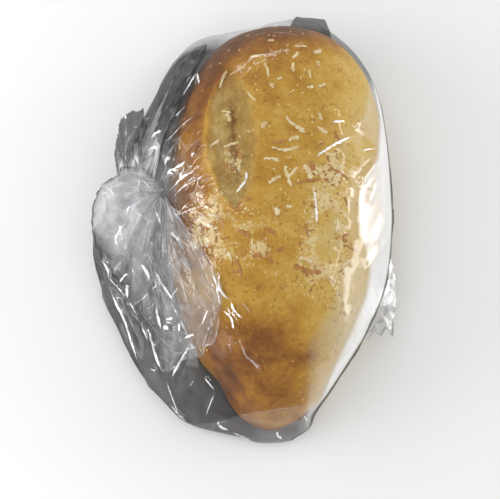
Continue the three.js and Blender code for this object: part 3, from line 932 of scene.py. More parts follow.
# Creases that stand out: points in the picture's pixels, then half width and height of the fold,
# how glossy its sharp crest is and the crest's half width. A fold with no gloss there is rounded.
filmCreases = [
    ([(100, 255), (104, 267), (109, 281)], 2.0, 1.0, 1.0, 1.0),
    ([(110, 282), (121, 311), (130, 336), (139, 369)], 2.4, 1.2, 1.0, 0.8),
    ([(104, 256), (113, 276), (131, 306)], 2.0, 0.8, 0.5, 0.7),
    ([(144, 326), (155, 350), (164, 375)], 1.8, 0.8, 1.0, 0.8),
    ([(139, 327), (146, 342)], 1.4, 0.5, 0.8, 0.6),
    ([(150, 368), (157, 371)], 1.2, 0.5, 1.0, 0.6),
    ([(166, 377), (172, 396), (180, 416)], 1.6, 0.6, 0.7, 0.5),
    ([(170, 382), (180, 362), (192, 343)], 1.8, 0.9, 0.8, 0.9),
    ([(203, 377), (214, 393)], 1.6, 0.7, 0.8, 0.5),
    ([(214, 393), (205, 418)], 1.6, 0.7, 0.8, 0.45),
    ([(188, 388), (195, 379)], 1.0, 0.4, 0.6, 0.4),
    ([(168, 403), (178, 413), (188, 423)], 1.4, 0.5, 0.9, 0.6),
    ([(216, 420), (221, 427), (229, 431)], 1.4, 0.6, 1.0, 1.0),
    ([(230, 431), (238, 435), (252, 440)], 1.2, 0.5, 0.8, 0.5),
    ([(277, 429), (278, 436), (284, 440)], 1.4, 0.6, 1.0, 0.8),
    ([(303, 414), (308, 422)], 1.4, 0.6, 0.8, 0.8),
    ([(218, 421), (250, 414), (311, 405)], 1.6, 0.4, 0.4, 0.5),
    ([(220, 270), (219, 285), (223, 294), (232, 301)], 1.8, 0.8, 1.0, 0.7),
    ([(231, 299), (234, 309), (244, 320)], 1.6, 0.7, 1.0, 0.7),
    ([(240, 300), (252, 314)], 1.2, 0.4, 0.5, 0.4),
    ([(221, 309), (231, 317), (234, 329), (238, 329)], 1.4, 0.6, 0.9, 0.6),
    ([(312, 160), (330, 147), (354, 135)], 1.6, 0.7, 1.0, 0.8),
    ([(330, 123), (346, 121)], 1.6, 0.6, 1.0, 0.8),
    ([(312, 181), (316, 205), (317, 230)], 1.6, 0.6, 1.0, 0.8),
    ([(360, 151), (377, 149)], 1.2, 0.5, 0.8, 0.5),
    ([(243, 168), (247, 176), (243, 185), (233, 196)], 1.8, 0.7, 1.0, 0.9),
    ([(199, 71), (189, 88), (179, 102)], 1.6, 0.7, 1.0, 0.8),
    ([(198, 72), (200, 86)], 1.2, 0.5, 0.9, 0.7),
    ([(187, 157), (184, 165), (175, 169), (164, 175)], 1.6, 0.7, 1.0, 0.9),
    ([(160, 178), (172, 171), (186, 161)], 1.6, 0.7, 1.0, 1.1),
    ([(163, 166), (168, 158), (171, 156)], 1.2, 0.5, 1.0, 0.8),
    ([(192, 156), (197, 153)], 1.2, 0.5, 1.0, 0.8),
    ([(201, 112), (185, 125), (172, 136), (159, 147)], 1.4, 0.5, 0.7, 0.5),
    ([(200, 169), (190, 180), (179, 188)], 1.2, 0.5, 0.7, 0.4),
    ([(199, 176), (196, 194)], 1.0, 0.4, 0.6, 0.4),
    ([(192, 200), (172, 219)], 1.2, 0.5, 0.7, 0.5),
    ([(163, 193), (180, 180), (199, 167)], 1.2, 0.5, 0.8, 0.5),
    ([(166, 198), (188, 184), (216, 170)], 1.0, 0.3, 0.6, 0.35),
    ([(164, 203), (175, 210), (188, 217)], 1.2, 0.4, 0.7, 0.4),
    ([(165, 221), (185, 212), (213, 203)], 1.0, 0.3, 0.6, 0.35),
    ([(173, 119), (180, 112), (188, 105)], 1.2, 0.4, 0.8, 0.5),
    ([(178, 180), (184, 172), (186, 164)], 1.0, 0.4, 0.8, 0.6),
    ([(170, 176), (180, 174), (192, 176)], 1.0, 0.4, 0.7, 0.5),
    ([(169, 230), (175, 236), (182, 242)], 2.0, 0.8, 1.0, 1.1),
    ([(357, 187), (366, 175), (379, 158)], 2.4, 1.1, 0.0, 1.0),
    ([(366, 207), (371, 194), (378, 177)], 2.4, 1.1, 0.0, 1.0),
    ([(371, 251), (378, 233), (386, 210)], 2.6, 1.2, 0.0, 1.0),
    ([(363, 277), (373, 257), (388, 236)], 2.6, 1.2, 0.0, 1.0),
    ([(369, 103), (361, 119), (353, 131)], 2.8, 0.9, 0.0, 1.0),
    ([(354, 290), (340, 324), (329, 356)], 2.4, 0.7, 0.0, 1.0),
    ([(238, 45), (255, 36), (273, 33), (296, 36), (316, 42)], 1.6, 0.4, 0.45, 0.5),
]
fanCreases = [
    ([(117, 171), (124, 184), (131, 199)], 1.2, 0.6, 0.9, 0.5),
    ([(105, 185), (116, 198)], 1.2, 0.5, 0.8, 0.5),
    ([(93, 197), (98, 209), (106, 222)], 1.6, 0.7, 0.9, 0.5),
    ([(106, 175), (116, 178), (127, 181)], 1.6, 0.7, 0.7, 0.4),
    ([(134, 212), (146, 219), (158, 225)], 1.8, 0.8, 0.7, 0.4),
    ([(119, 222), (121, 234), (123, 246)], 1.8, 0.8, 0.8, 0.5),
    ([(140, 176), (138, 188), (141, 200)], 1.8, 0.8, 0.7, 0.4),
    ([(131, 203), (126, 218)], 1.2, 0.5, 0.8, 0.5),
    ([(140, 178), (149, 187), (158, 195)], 1.2, 0.5, 0.8, 0.5),
    ([(126, 222), (116, 239), (120, 249)], 1.4, 0.6, 1.0, 0.7),
    ([(153, 204), (157, 214), (162, 227)], 1.2, 0.5, 0.9, 0.5),
    ([(149, 226), (154, 243), (158, 262)], 4.0, 1.2, 0.0, 1.0),
    ([(123, 261), (133, 257), (145, 253)], 3.0, 1.0, 0.0, 1.0),
    ([(99, 222), (105, 236), (110, 250)], 3.0, 1.0, 0.0, 1.0),
    ([(119, 284), (124, 277), (130, 273)], 1.2, 0.5, 1.0, 0.7),
    ([(127, 283), (128, 301)], 1.4, 0.6, 1.0, 1.1),
    ([(129, 301), (138, 317)], 1.2, 0.5, 0.9, 0.5),
    ([(134, 306), (143, 298), (151, 290)], 1.0, 0.4, 0.7, 0.4),
    ([(140, 263), (147, 273), (150, 283)], 1.4, 0.6, 0.9, 0.8),
    ([(154, 278), (156, 286), (151, 291)], 1.2, 0.5, 0.9, 0.5),
    ([(156, 303), (158, 318), (162, 332)], 1.4, 0.6, 0.8, 1.0),
    ([(160, 280), (168, 293), (175, 303)], 1.2, 0.5, 0.7, 0.5),
    ([(163, 326), (169, 330)], 1.2, 0.5, 1.0, 1.2),
    ([(165, 320), (173, 318)], 1.2, 0.5, 1.0, 0.8),
    ([(179, 323), (179, 333)], 1.2, 0.5, 1.0, 0.8),
    ([(183, 339), (195, 334)], 1.2, 0.5, 1.0, 0.6),
    ([(210, 270), (216, 283), (219, 300), (221, 310)], 1.4, 0.6, 1.0, 0.6),
    ([(201, 327), (209, 308)], 1.2, 0.5, 0.8, 0.5),
    ([(171, 297), (179, 287)], 1.0, 0.4, 0.7, 0.4),
    ([(147, 328), (152, 338)], 1.2, 0.5, 0.8, 0.6),
    ([(135, 149), (145, 136), (156, 122)], 1.4, 0.6, 1.0, 0.9),
    ([(147, 152), (153, 148), (158, 150)], 1.2, 0.5, 1.0, 1.0),
    ([(150, 140), (156, 134), (163, 131)], 1.2, 0.5, 1.0, 0.9),
    ([(160, 152), (165, 147)], 1.2, 0.5, 0.9, 0.8),
    ([(118, 124), (121, 131)], 1.0, 0.4, 0.9, 0.7),
]
farOff = 9.0  # stands for no crest near, in half widths
# Where the bag's folded side lies double over the loaf: edge of each layer in the picture's pixels, from
# the tapered end, and how much more it mirrors
doubled = [
    {"edge": [(309, 397), (310, 345), (322, 322), (337, 295), (341, 272), (353, 252), (351, 235), (350, 200),
              (352, 177), (376, 153), (375, 145), (354, 129), (366, 111), (371, 80)], "mirror": 0.06},
    {"edge": [(324, 395), (335, 368), (347, 342), (358, 318), (366, 298), (370, 272), (367, 250), (361, 232),
              (360, 205), (364, 182), (378, 160), (381, 120), (376, 95)], "mirror": 0.17},
    {"edge": [(309, 397), (310, 345), (322, 330), (340, 316), (362, 300), (384, 280)],
     "mirror": 0.04, "soft": 3.0},
]
doubledTip = {"edge": [(205, 424), (250, 414), (311, 405), (330, 400)], "mirror": 0.03, "beforeY": -60}


def outlineHull(points):  # convex outline, counter-clockwise
    ordered = sorted(map(tuple, points))

    def half(run):
        chain = []
        for p in run:
            while len(chain) > 1 and ((chain[-1][0] - chain[-2][0]) * (p[1] - chain[-2][1])
                                      - (chain[-1][1] - chain[-2][1]) * (p[0] - chain[-2][0])) <= 1e-9:
                chain.pop()
            chain.append(p)
        return chain[:-1]

    return np.array(half(ordered) + half(ordered[::-1]))


# Even steps along an outline before and after the place where x is splitX
def walkOutline(outline, start, end, splitX, counts):
    stop = end if end > start else end + len(outline)
    path = outline[np.arange(start, stop + 1) % len(outline)]
    runs = runsAlong(path)
    order = np.argsort(path[:, 0], kind="stable")
    split = np.interp(splitX, path[order, 0], runs[order])
    at = []
    for low, high, count in ((0, split, counts[0]), (split, runs[-1], counts[1])):
        if count:
            at.append(np.linspace(low, high, count, endpoint=False))
    at = np.concatenate(at)
    return np.column_stack([np.interp(at, runs, path[:, k]) for k in range(2)])


def filmEdge(name):  # one of the bag's folded edges
    return smoothPath(np.array(film[name]) + shift)


def edgePoint(edge, y):
    return np.array([np.interp(y, edge[:, 1], edge[:, k]) for k in (0, 2)])


def filmRing(y, knotEdge, seamEdge):  # film drawn taut round the loaf and both folded edges
    hold = loafTips[0] + film["tipHold"]
    half, crown, _, axis = (float(v) for v in loafAt(np.array(max(y, hold))))
    left = np.clip((y - knotEdge[0, 1]) / (hold - knotEdge[0, 1]), 0, 1)  # narrows to the film's end
    flat = edgePoint(knotEdge, y)[1] * (1 + film["edgeRoll"])
    reach, top = (half + film["gap"]) * left, flat + (crown + film["gap"] - flat) * left
    counts = film["outline"]
    points = []
    if left > 0:
        waist = top * loaf["waistShare"]
        c = np.cos(np.linspace(0, math.pi, counts["dome"]))
        dome = waist + (top - waist) * superellipse(c, loaf["domePower"])
        points.append(np.column_stack([axis + reach * c, dome]))
        drop = np.linspace(0, 1, counts["side"])
        side = reach * (1 - (1 - loaf["footShare"]) * drop ** loaf["footPower"])
        for hand in (-1, 1):
            points.append(np.column_stack([axis + hand * side, waist * (1 - drop)]))
    turn = np.linspace(0, 2 * math.pi, counts["roll"], endpoint=False)
    for edge, hand in ((knotEdge, -1), (seamEdge, 1)):
        ex, ez = edgePoint(edge, y)
        r = film["edgeRoll"] * ez
        points.append(np.column_stack([ex + r * (np.cos(turn) - hand), ez + r * np.sin(turn)]))
    outline = outlineHull(np.vstack(points))
    middle = (outline[:, 0].min() + outline[:, 0].max()) / 2
    seam, knotSide = outline[:, 0].argmax(), outline[:, 0].argmin()
    steps = film["ring"]
    ring = np.vstack([
        walkOutline(outline, knotSide, seam, middle, (None, steps["base"])),
        walkOutline(outline, seam, knotSide, axis, (steps["rise"], steps["fall"])),
        walkOutline(outline, knotSide, seam, middle, (steps["tuck"], None)),
    ])
    return np.column_stack([ring[:, 0], np.full(len(ring), y), ring[:, 1]])


def filmGrid():
    knotEdge, seamEdge = filmEdge("knotSideEdge"), filmEdge("seamSideEdge")
    near, far = knotEdge[0, 1], knotEdge[-1, 1]
    turn = np.linspace(0, math.pi / 2, film["stations"])  # closer steps towards the blunt end
    grid = np.array([filmRing(y, knotEdge, seamEdge) for y in near + (far - near) * np.sin(turn)])
    for _ in range(film["evened"]):
        grid[1:-1] = 0.25 * grid[:-2] + 0.5 * grid[1:-1] + 0.25 * grid[2:]
    ends = np.linspace(0, math.pi / 2, film["endTurns"] + 1, endpoint=False)[1:]

    def drawnIn(ring, bulge):
        middle = ring.mean(axis=0)
        return [middle + (ring - middle) * math.cos(a) + (0, bulge * math.sin(a), 0) for a in ends]

    nearEnd = drawnIn(grid[0], -film["endBulge"])[::-1]
    return np.concatenate([nearEnd, grid, drawnIn(grid[-1], film["endBulge"])])


# Crumpled sheet of flat triangles about one unit wide: its height from -1 to 1, its creases, and a value
# from 0 to 1 that each triangle has of its own
def facets(u, v, seed):
    rng = np.random.default_rng(seed)
    low, high = np.floor((u.min(), v.min())) - 2, np.ceil((u.max(), v.max())) + 2
    gridU, gridV = np.meshgrid(np.arange(low[0], high[0] + 1), np.arange(low[1], high[1] + 1))
    spots = np.column_stack([gridU.ravel(), gridV.ravel()]) + rng.uniform(-0.45, 0.45, (gridU.size, 2))
    plan, _, triangles = delaunay_2d_cdt([Vector(p) for p in spots], [], [], 0, 1e-6)[:3]
    heights = rng.uniform(-1, 1, len(plan))
    net = BVHTree.FromPolygons([(p.x, p.y, h) for p, h in zip(plan, heights)], triangles)
    hits = [net.ray_cast(Vector((a, b, 2)), downward) for a, b in zip(u, v)]
    face = np.array([hit[2] for hit in hits])
    corners = np.array(plan)[np.array(triangles)][face]
    marked = rng.random((len(triangles), 3)) ** 3  # how much each fold shows
    crease = np.zeros(len(u))
    for k in range(3):
        start, end = corners[:, k], corners[:, (k + 1) % 3]
        along = (end - start) / np.linalg.norm(end - start, axis=1, keepdims=True)
        off = np.abs((u - start[:, 0]) * along[:, 1] - (v - start[:, 1]) * along[:, 0])
        crease = np.maximum(crease, marked[face, k] * hump(off, 0, 0.07))
    return np.array([hit[0].z for hit in hits]), crease, rng.random(len(triangles))[face]


def gridTree(grid, wrap):  # search tree of a grid of places, in metres
    return BVHTree.FromPolygons((grid.reshape(-1, 3) * mm).tolist(), gridFaces(*grid.shape[:2], wrap))


# Distance from a path, the same with a sign for its side, and how far along it that is
def nearestOnPath(x, y, path):
    steps, runs = np.diff(path, axis=0), runsAlong(path)
    lengths = np.linalg.norm(steps, axis=1)
    least = np.full(len(x), np.inf)
    across, along = np.zeros(len(x)), np.zeros(len(x))
    for (ax, ay), (dx, dy), run, length in zip(path, steps, runs, lengths):
        px, py = x - ax, y - ay
        part = np.clip((px * dx + py * dy) / length ** 2, 0, 1)
        far = np.hypot(px - part * dx, py - part * dy)
        closer = far < least
        least[closer] = far[closer]
        across[closer] = np.copysign(far, py * dx - px * dy)[closer]
        along[closer] = (run + part * length)[closer] / runs[-1]
    return least, across, along


# Lift, distance from the nearest crest in its own half widths, and that crest's gloss
def creaseLift(x, y, tree, creases):
    lift, off, crest = np.zeros(len(x)), np.full(len(x), farOff), np.zeros(len(x))
    for pixels, width, height, gloss, broad in creases:
        spots = [tree.ray_cast(*pixelRay(*pixel))[0] for pixel in pixels]
        if any(spot is None for spot in spots):  # the crease lies on another piece
            continue
        path = smoothPath([(spot.x / mm, spot.y / mm) for spot in spots], 6)
        room = 4 * broad + width
        near = np.flatnonzero((x > path[:, 0].min() - room) & (x < path[:, 0].max() + room)
                              & (y > path[:, 1].min() - room) & (y < path[:, 1].max() + room))
        least, across, along = nearestOnPath(x[near], y[near], path)
        taper = smoothStep(0, 0.3, along) * (1 - smoothStep(0.7, 1, along))
        lift[near] += height * (1 - smoothStep(0, width, least)) * taper
        shown = gloss * taper * (1 - smoothStep(2.0, 3.5, least / broad))
        closer = (shown > 0) & (least / broad < np.abs(off[near]))
        off[near[closer]], crest[near[closer]] = (across / broad)[closer], shown[closer]
    return lift, off, crest


def aroundNeck(x, y):  # distance from the neck, and turn round it with the cut on the loaf's side
    dx, dy = x - film["neck"][0], y - film["neck"][1]
    return np.hypot(dx, dy), np.arctan2(-dy, -dx)


def gatherLift(x, y):  # folds that run out from the neck, tallest a little way off it
    away, turn = aroundNeck(x, y)
    r = np.maximum(away, gather["least"])
    rise = r / gather["reach"] * np.exp(1 - r / gather["reach"])
    height, crease, _ = facets(turn / gather["width"], np.log(r) / gather["ratio"], gather["seed"])
    crease = crease * np.clip(rise, 0, 1) ** 1.5 * smoothStep(gather["end"], gather["reach"] * 0.8, away)
    return gather["height"] * rise * height, crease


def filmRelief(flat, n, smoothTree, stations):  # lift off the taut film, and what shows on it
    x, y, z = flat.T
    gap = np.array([loafTree.find_nearest(Vector(p) * mm)[3] for p in flat]) / mm
    slack = smoothStep(*film["hangs"], gap)
    upper = smoothStep(-0.35, 0.1, n[:, 2])
    calm = 1 - film["calm"] * bell(x, y, (score["middleX"], score["middleY"]), film["calmSpot"])
    loose = 0.5 + 0.5 * smoothStep(15, -20, x)  # more slack on the knot's side of the loaf
    loose = loose * calm * (1 - film["calm"] * smoothStep(*film["seamTaut"], x))
    lift, crease = gatherLift(x, y)
    lift = lift * (gather["cling"] * calm + (1 - gather["cling"]) * slack)
    folded, crestOff, crest = creaseLift(x, y, smoothTree, filmCreases)
    panes = np.zeros(len(x))
    for layer in crumple.values():
        height = layer["cling"] * loose * (1 - slack) + layer["free"] * slack
        crush, _, pane = facets((x + 0.3 * z) / layer["size"][0], y / layer["size"][1], layer["seed"])
        lift = lift + height * crush
        panes = panes + layer["haze"] * pane ** 3
    away, _ = aroundNeck(x, y)
    lift = (lift + folded) * upper - film["neckDip"] * hump(away, 0, film["neckReach"]) * slack
    lift = lift + film["sway"] * lumps(flat, 14, 31, 2) * slack * smoothStep(2, 9, z)
    station = np.repeat(np.arange(stations), len(flat) // stations)
    fromEnd = np.minimum(station, stations - 1 - station)
    lift = lift * smoothStep(film["endTurns"], film["endTurns"] + film["endBlend"], fromEnd)
    shown = {"slack": withPoles(slack, 0), "crease": withPoles(0.35 * crease * calm * upper, 0),
             "crestOff": withPoles(crestOff, farOff), "crest": withPoles(crest * upper, 0)}
    return lift, withPoles(panes, 0), shown


def keptOff(flat):  # film that would touch the crust or the floor moves off it
    for i, p in enumerate(flat):
        if not loafTips[0] < p[1] < loafTips[1]:
            continue
        spot, out, _, _ = loafTree.find_nearest(Vector(p) * mm)
        if (Vector(p) * mm - spot).dot(out) / mm < film["clearance"]:
            flat[i] = np.array(spot) / mm + np.array(out) * film["clearance"]
    flat[:, 2] = np.maximum(flat[:, 2], film["lowest"])
    return flat


def smokyShare(x, y, beside, beyond, under, inset, dusk):  # film beside the bread, most of all its underside
    tint = filmTint
    smoky = tint["top"] * smoothStep(-2.0, 2.0, np.maximum(beside, beyond + 1.0))
    shade = tint["shade"] + (1 - tint["shade"]) * smoothStep(*tint["shadeEnds"], np.maximum(beside, beyond))
    smoky = smoky + (tint["under"] * shade - smoky) * under
    taut = smoothStep(*tint["tautInset"], inset) * smoothStep(*tint["tautEnds"], y)
    taut = taut * smoothStep(*tint["tautStarts"], y)
    smoky = smoky * (1 - tint["seamClear"] * np.maximum(taut, smoothStep(*tint["seamClearX"], x)))
    smoky = smoky * (1 - tint["cornerClear"] * smoothStep(-76, -82, y) * smoothStep(0, 10, x))
    # the dark spot beside the blunt end is partly painted shadow of the loaf
    smoky = np.maximum(smoky, dusk * (tint["duskTop"] + (1 - tint["duskTop"]) * under))
    return np.maximum(smoky, tint["seamLine"] * smoothStep(1.6, 0.5, inset))  # the seam side's own edge


def doubledShare(x, y, smoothTree):  # how much more the film mirrors where it lies double
    def planOf(edge):  # pixels of the picture as places on the film's plan
        spots = [smoothTree.ray_cast(*pixelRay(*pixel))[0] for pixel in edge]
        return np.array([(spot.x, spot.y) for spot in spots if spot]) / mm

    mirrored = np.zeros(len(x))
    for layer in doubled:
        edge, soft = planOf(layer["edge"]), layer.get("soft", 1.0)
        inside = smoothStep(-1.5 * soft, soft, x - np.interp(y, edge[:, 1], edge[:, 0]))
        mirrored = mirrored + layer["mirror"] * inside
    edge = planOf(doubledTip["edge"])
    inside = smoothStep(0.3, -0.3, y - np.interp(x, edge[:, 0], edge[:, 1])) * (y < doubledTip["beforeY"])
    return mirrored + doubledTip["mirror"] * inside


def makeFilm(material):
    grid = filmGrid()
    flat, n = grid.reshape(-1, 3), ringNormals(grid).reshape(-1, 3)
    smoothTree = gridTree(grid, True)
    lift, panes, shown = filmRelief(flat, n, smoothTree, len(grid))
    points, faces = closedTube(keptOff(flat + n * lift[:, None]).reshape(grid.shape))
    piece = makePiece("bagFilm", points, faces, material)

    x, y, _ = points.T
    half, _, _, axis = loafAt(y)
    beside, beyond = np.abs(x - axis) - half, np.maximum(y - loafTips[1], loafTips[0] - y)
    under = withPoles(smoothStep(0.1, -0.3, n[:, 2]), 0.5)
    aside = smoothStep(-0.8, 0.6, beside)
    seam = filmEdge("seamSideEdge")
    inset = np.interp(y, seam[:, 1], seam[:, 0]) - x
    # dusk: dark spot beside the blunt end, partly painted shadow of the loaf
    dusk = bell(x, y, *filmTint["dusk"]) * (beside > -2)
    mirrored = doubledShare(x, y, smoothTree) * (1 - under) * smoothStep(0.4, 1.8, inset)
    away, turn = aroundNeck(x, y)
    full, fall = filmTint["gathered"]
    near = np.exp(-np.maximum(away - full, 0) / fall)
    haze = (filmTint["gatheredHaze"] * near + panes) * aside * (1 - filmTint["duskHaze"] * dusk)
    haze = haze + filmTint["neckHaze"] * bell(x, y, *filmTint["neckHazeSpot"])
    crinkle = filmCrinkle["least"] + filmCrinkle["beside"] * aside * (mirrored < doubleLimit)
    crinkle = crinkle + filmCrinkle["gathered"] * near * (0.35 + 0.65 * aside)
    crinkle = crinkle + filmCrinkle["double"] * (mirrored > doubleLimit)
    smoky = smokyShare(x, y, beside, beyond, under, inset, dusk)
    setFields(piece, smoky=smoky, haze=haze, double=mirrored, crinkle=crinkle, **shown)
    ring = np.log(np.maximum(away, gather["least"]))
    around, out = filmCrinkle["cells"]
    setVectors(piece, "fold", np.column_stack([turn * around, ring * out, np.zeros(len(x))]))
    return piece


# Film's looks: colour through clear and tinted film, bunched film's own colour, and its gloss. mirror is the
# share mirrored face on, grazing what is added at a glance, and gaps how broken its crease lines are.
filmLooks = {
    "clearFilm": {
        "clear": (0.98, 0.98, 0.98, 1), "smoke": (0.12, 0.117, 0.114, 1), "milk": (0.5, 0.5, 0.51, 1),
        "roughness": 0.08, "mirror": 0.021, "grazing": 0.04, "gaps": 1.4,
    },
    "bunchedFilm": {
        "clear": (0.97, 0.97, 0.97, 1), "smoke": (0.3, 0.3, 0.3, 1), "milk": (0.52, 0.525, 0.54, 1),
        "roughness": 0.22, "mirror": 0.035, "grazing": 0.2, "gaps": 2.1,
    },
    "creasedFilm": {
        "clear": (0.97, 0.97, 0.97, 1), "smoke": (0.3, 0.3, 0.3, 1), "milk": (0.6, 0.605, 0.62, 1),
        "roughness": 0.10, "mirror": 0.025, "grazing": 0.15, "gaps": 2.1,
    },
}
filmWhite = (0.96, 0.965, 0.975, 1)
crestRoughness = 0.45


def crinkleNormal(tree, amount):  # tilts the surface cell by cell, as small flat facets
    normal = addNode(tree, "ShaderNodeNewGeometry").outputs["Normal"]
    for cellsAcross in (0.55, 1.6):
        cells = addNode(tree, "ShaderNodeTexVoronoi", voronoi_dimensions="2D")
        cells.inputs["Scale"].default_value = cellsAcross
        link(tree, fieldNode(tree, "fold", "Vector"), cells.inputs["Vector"])
        tilt = pushNode(tree, cells.outputs["Color"], amount)
        total = addNode(tree, "ShaderNodeVectorMath", operation="ADD")
        link(tree, normal, total.inputs[0])
        link(tree, tilt, total.inputs[1])
        normal = total.outputs[0]
    even = addNode(tree, "ShaderNodeVectorMath", operation="NORMALIZE")
    link(tree, normal, even.inputs[0])
    return even.outputs[0]


def glossNode(tree, roughness):
    gloss = addNode(tree, "ShaderNodeBsdfGlossy")
    gloss.inputs["Color"].default_value = (1, 1, 1, 1)
    feed(tree, roughness, gloss.inputs["Roughness"])
    return gloss


def filmMaterial(name):
    look = filmLooks[name]
    material, tree = newMaterial(name)
    out = addNode(tree, "ShaderNodeOutputMaterial")
    through = addNode(tree, "ShaderNodeBsdfTransparent")
    colour = mixColour(tree, fieldNode(tree, "smoky"), look["clear"], look["smoke"])
    link(tree, colour, through.inputs["Color"])

    # Gloss, stronger where the film hangs free. Film that lies double mirrors more, and blurs it.
    normal = crinkleNormal(tree, fieldNode(tree, "crinkle"))
    gloss = glossNode(tree, timesPlus(tree, fieldNode(tree, "double"), 1.2, look["roughness"]))
    link(tree, normal, gloss.inputs["Normal"])
    weight = addNode(tree, "ShaderNodeLayerWeight")
    link(tree, normal, weight.inputs["Normal"])
    facing = weight.outputs["Facing"]
    shine = mathNode(tree, "POWER", facing, 4.0)
    sheen = timesPlus(tree, fieldNode(tree, "slack"), 0.035, look["mirror"])
    glance = timesPlus(tree, mathNode(tree, "POWER", facing, 2.0), 6.0, 1.0)
    sheen = timesPlus(tree, fieldNode(tree, "double"), glance, sheen)
    share = timesPlus(tree, shine, look["grazing"], sheen, clamp=True)
    sheet = mixShaders(tree, share, through.outputs[0], gloss.outputs[0])

    # Milky where the film is bunched
    scatter = addNode(tree, "ShaderNodeBsdfDiffuse")
    link(tree, mixColour(tree, fieldNode(tree, "white"), look["milk"], filmWhite), scatter.inputs["Color"])
    patchy = times(tree, noiseNode(tree, 6.0, 3.0), 2.0)
    share = times(tree, fieldNode(tree, "haze"), patchy, clamp=True)
    cloudy = mixShaders(tree, share, sheet, scatter.outputs[0])

    # Sharp folds: their rounded crests mirror light from all round
    broken = timesPlus(tree, noiseNode(tree, 4.0, 3.0), 5.0, -look["gaps"], clamp=True)
    lines = times(tree, fieldNode(tree, "crease"), broken)
    reach = timesPlus(tree, noiseNode(tree, 1.6, 3.0, 0.65), 2.4, -0.65)
    reach = times(tree, fieldNode(tree, "crest"), reach)
    inside = mathNode(tree, "SUBTRACT", reach, mathNode(tree, "ABSOLUTE", fieldNode(tree, "crestOff")))
    glint = timesPlus(tree, inside, 3.0, 0.2, clamp=True)
    glint = times(tree, glint, times(tree, fieldNode(tree, "crest"), 1.3, clamp=True))
    crests = glossNode(tree, crestRoughness)
    share = times(tree, mathNode(tree, "MAXIMUM", lines, glint), 0.9)
    link(tree, mixShaders(tree, share, cloudy, crests.outputs[0]), out.inputs["Surface"])
    return material


filmMaterials = {name: filmMaterial(name) for name in filmLooks}
bagFilm = makeFilm(filmMaterials["clearFilm"])
filmTree = treeOf(bagFilm)
print("film made", len(bagFilm.data.polygons), "faces")


# Loose film that fans out from the neck: inner and outer edges on the plan, sizes in millimetres.
# puff is the bunched knot in it: middle, reach and height. haze is given at the inner edge, a third of the
# way out and at the rim, and crinkle at the inner edge and half way. paleSide adds haze: how much, where it
# starts and ends round the fan, and how far out it is still full. quiet takes lines off the bread's side.
fans = {
    "bagKnot": {  # knot and the long skirt below it
        "inner": [(-29.5, 3.5), (-30.2, 2.8), (-31.2, 3.0), (-31.8, 4.5), (-31.4, 6.0), (-30.4, 6.5)],
        "outer": [(-10.5, -26), (-7.6, -34), (-8, -42), (-10.3, -51), (-15.7, -56), (-23, -58.5), (-30, -62),
                  (-34.5, -53), (-38.5, -46), (-44.7, -36), (-51, -24), (-57, -15), (-60, -6), (-60.3, 3),
                  (-57.5, 10.5), (-50, 16.5), (-42, 17.8), (-36, 14)],
        "steps": (230, 130), "seed": 51, "offset": 1.2,
        "puff": ((-45.6, -0.5), (15.2, 18.0), 10.5), "lobes": 0.5, "darkRim": (0.58, 0.94),
        "pleats": 18, "pleatHeight": 1.3, "facetHeight": 0.9, "facetCells": (22, 9), "curl": 0.8,
        "foldLines": 0.22, "quiet": 0.75, "crinkle": (0.1, 0.2), "foldCells": (22, 6),
        "haze": (0.5, 0.12, 0.03), "paleSide": (0.16, 0.46, 1.1, 0.5), "smoky": 0.06, "smokySkirt": 0.2,
    },
    "bagSkirt": {  # upper fold of the skirt
        "inner": [(-33, -7), (-37, -11), (-42, -13), (-47, -13)],
        "outer": [(-12.5, -31), (-10, -40), (-12.5, -49), (-18, -54), (-26, -55), (-33, -47), (-38.5, -40),
                  (-44, -32)],
        "steps": (170, 110), "seed": 52, "offset": 2.8,
        "pleats": 8, "pleatHeight": 1.5, "facetHeight": 1.2, "facetCells": (11, 6), "curl": 1.2,
        "foldLines": 0.1, "quiet": 0.6, "crinkle": (0.15, 0.25), "foldCells": (9, 4),
        "haze": (0.08, 0.01, 0.0), "paleSide": (0.1, 0.7, 1.1, 0.6), "smoky": 0.0,
    },
    "bagTail": {  # short tail above the knot, torn off with corners
        "inner": [(-39.5, 13), (-44, 15), (-50, 14)],
        "outer": [(-38.8, 30), (-40, 38), (-40.9, 46.6), (-43, 44.9), (-45.5, 44.8), (-49.8, 40.8),
                  (-50.4, 36), (-52, 26)],
        "corners": True,
        "steps": (100, 90), "seed": 53, "offset": 0.9,
        "pleats": 6, "pleatHeight": 1.2, "facetHeight": 0.7, "facetCells": (6, 5), "curl": 0.6,
        "foldLines": 0.3, "quiet": 0.0, "crinkle": (0.15, 0.2), "foldCells": (4, 3),
        "haze": (0.7, 0.2, 0.0), "paleSide": (0.0, 0.5, 1.1, 0.9), "smoky": 0.75,
    },
    "bagFold": {  # folded strip from the neck up beside the loaf
        "inner": [(-34.5, 10), (-37.5, 12.5), (-41, 14)],
        "outer": [(-30, 30), (-26, 45), (-22.5, 58), (-18.5, 66), (-14, 70.5), (-20, 70), (-25.5, 63),
                  (-29, 55), (-33.5, 45.5), (-38.5, 34), (-42, 24)],
        "steps": (90, 130), "seed": 54, "offset": 0.9,
        "pleats": 6, "pleatHeight": 0.9, "facetHeight": 0.7, "facetCells": (6, 7), "curl": 0.0,
        "foldLines": 0.3, "quiet": 0.0, "crinkle": (0.15, 0.2), "foldCells": (5, 6),
        "haze": (0.7, 0.10, 0.0), "paleSide": (0.24, 0.71, 1.1, 0.9), "smoky": 0.6,
    },
}
sheetThickness = 0.12
sheetLift = {"least": 0.4, "under": 0.2}  # upper and lower sheet over the film below, at least
heightPastFilm = 14.0  # where there is no film below
sheetSmoothing = 12  # rounds, so that a sheet spans small hollows
raggedRim = 0.012
knotLobes = {"around": 15, "out": 1.2, "size": 1.6}
knotShoulder = {"spot": ((-53, 13), (9, 9)), "clearer": 0.45}  # the knot's far side is less white
knotWhite = 0.45
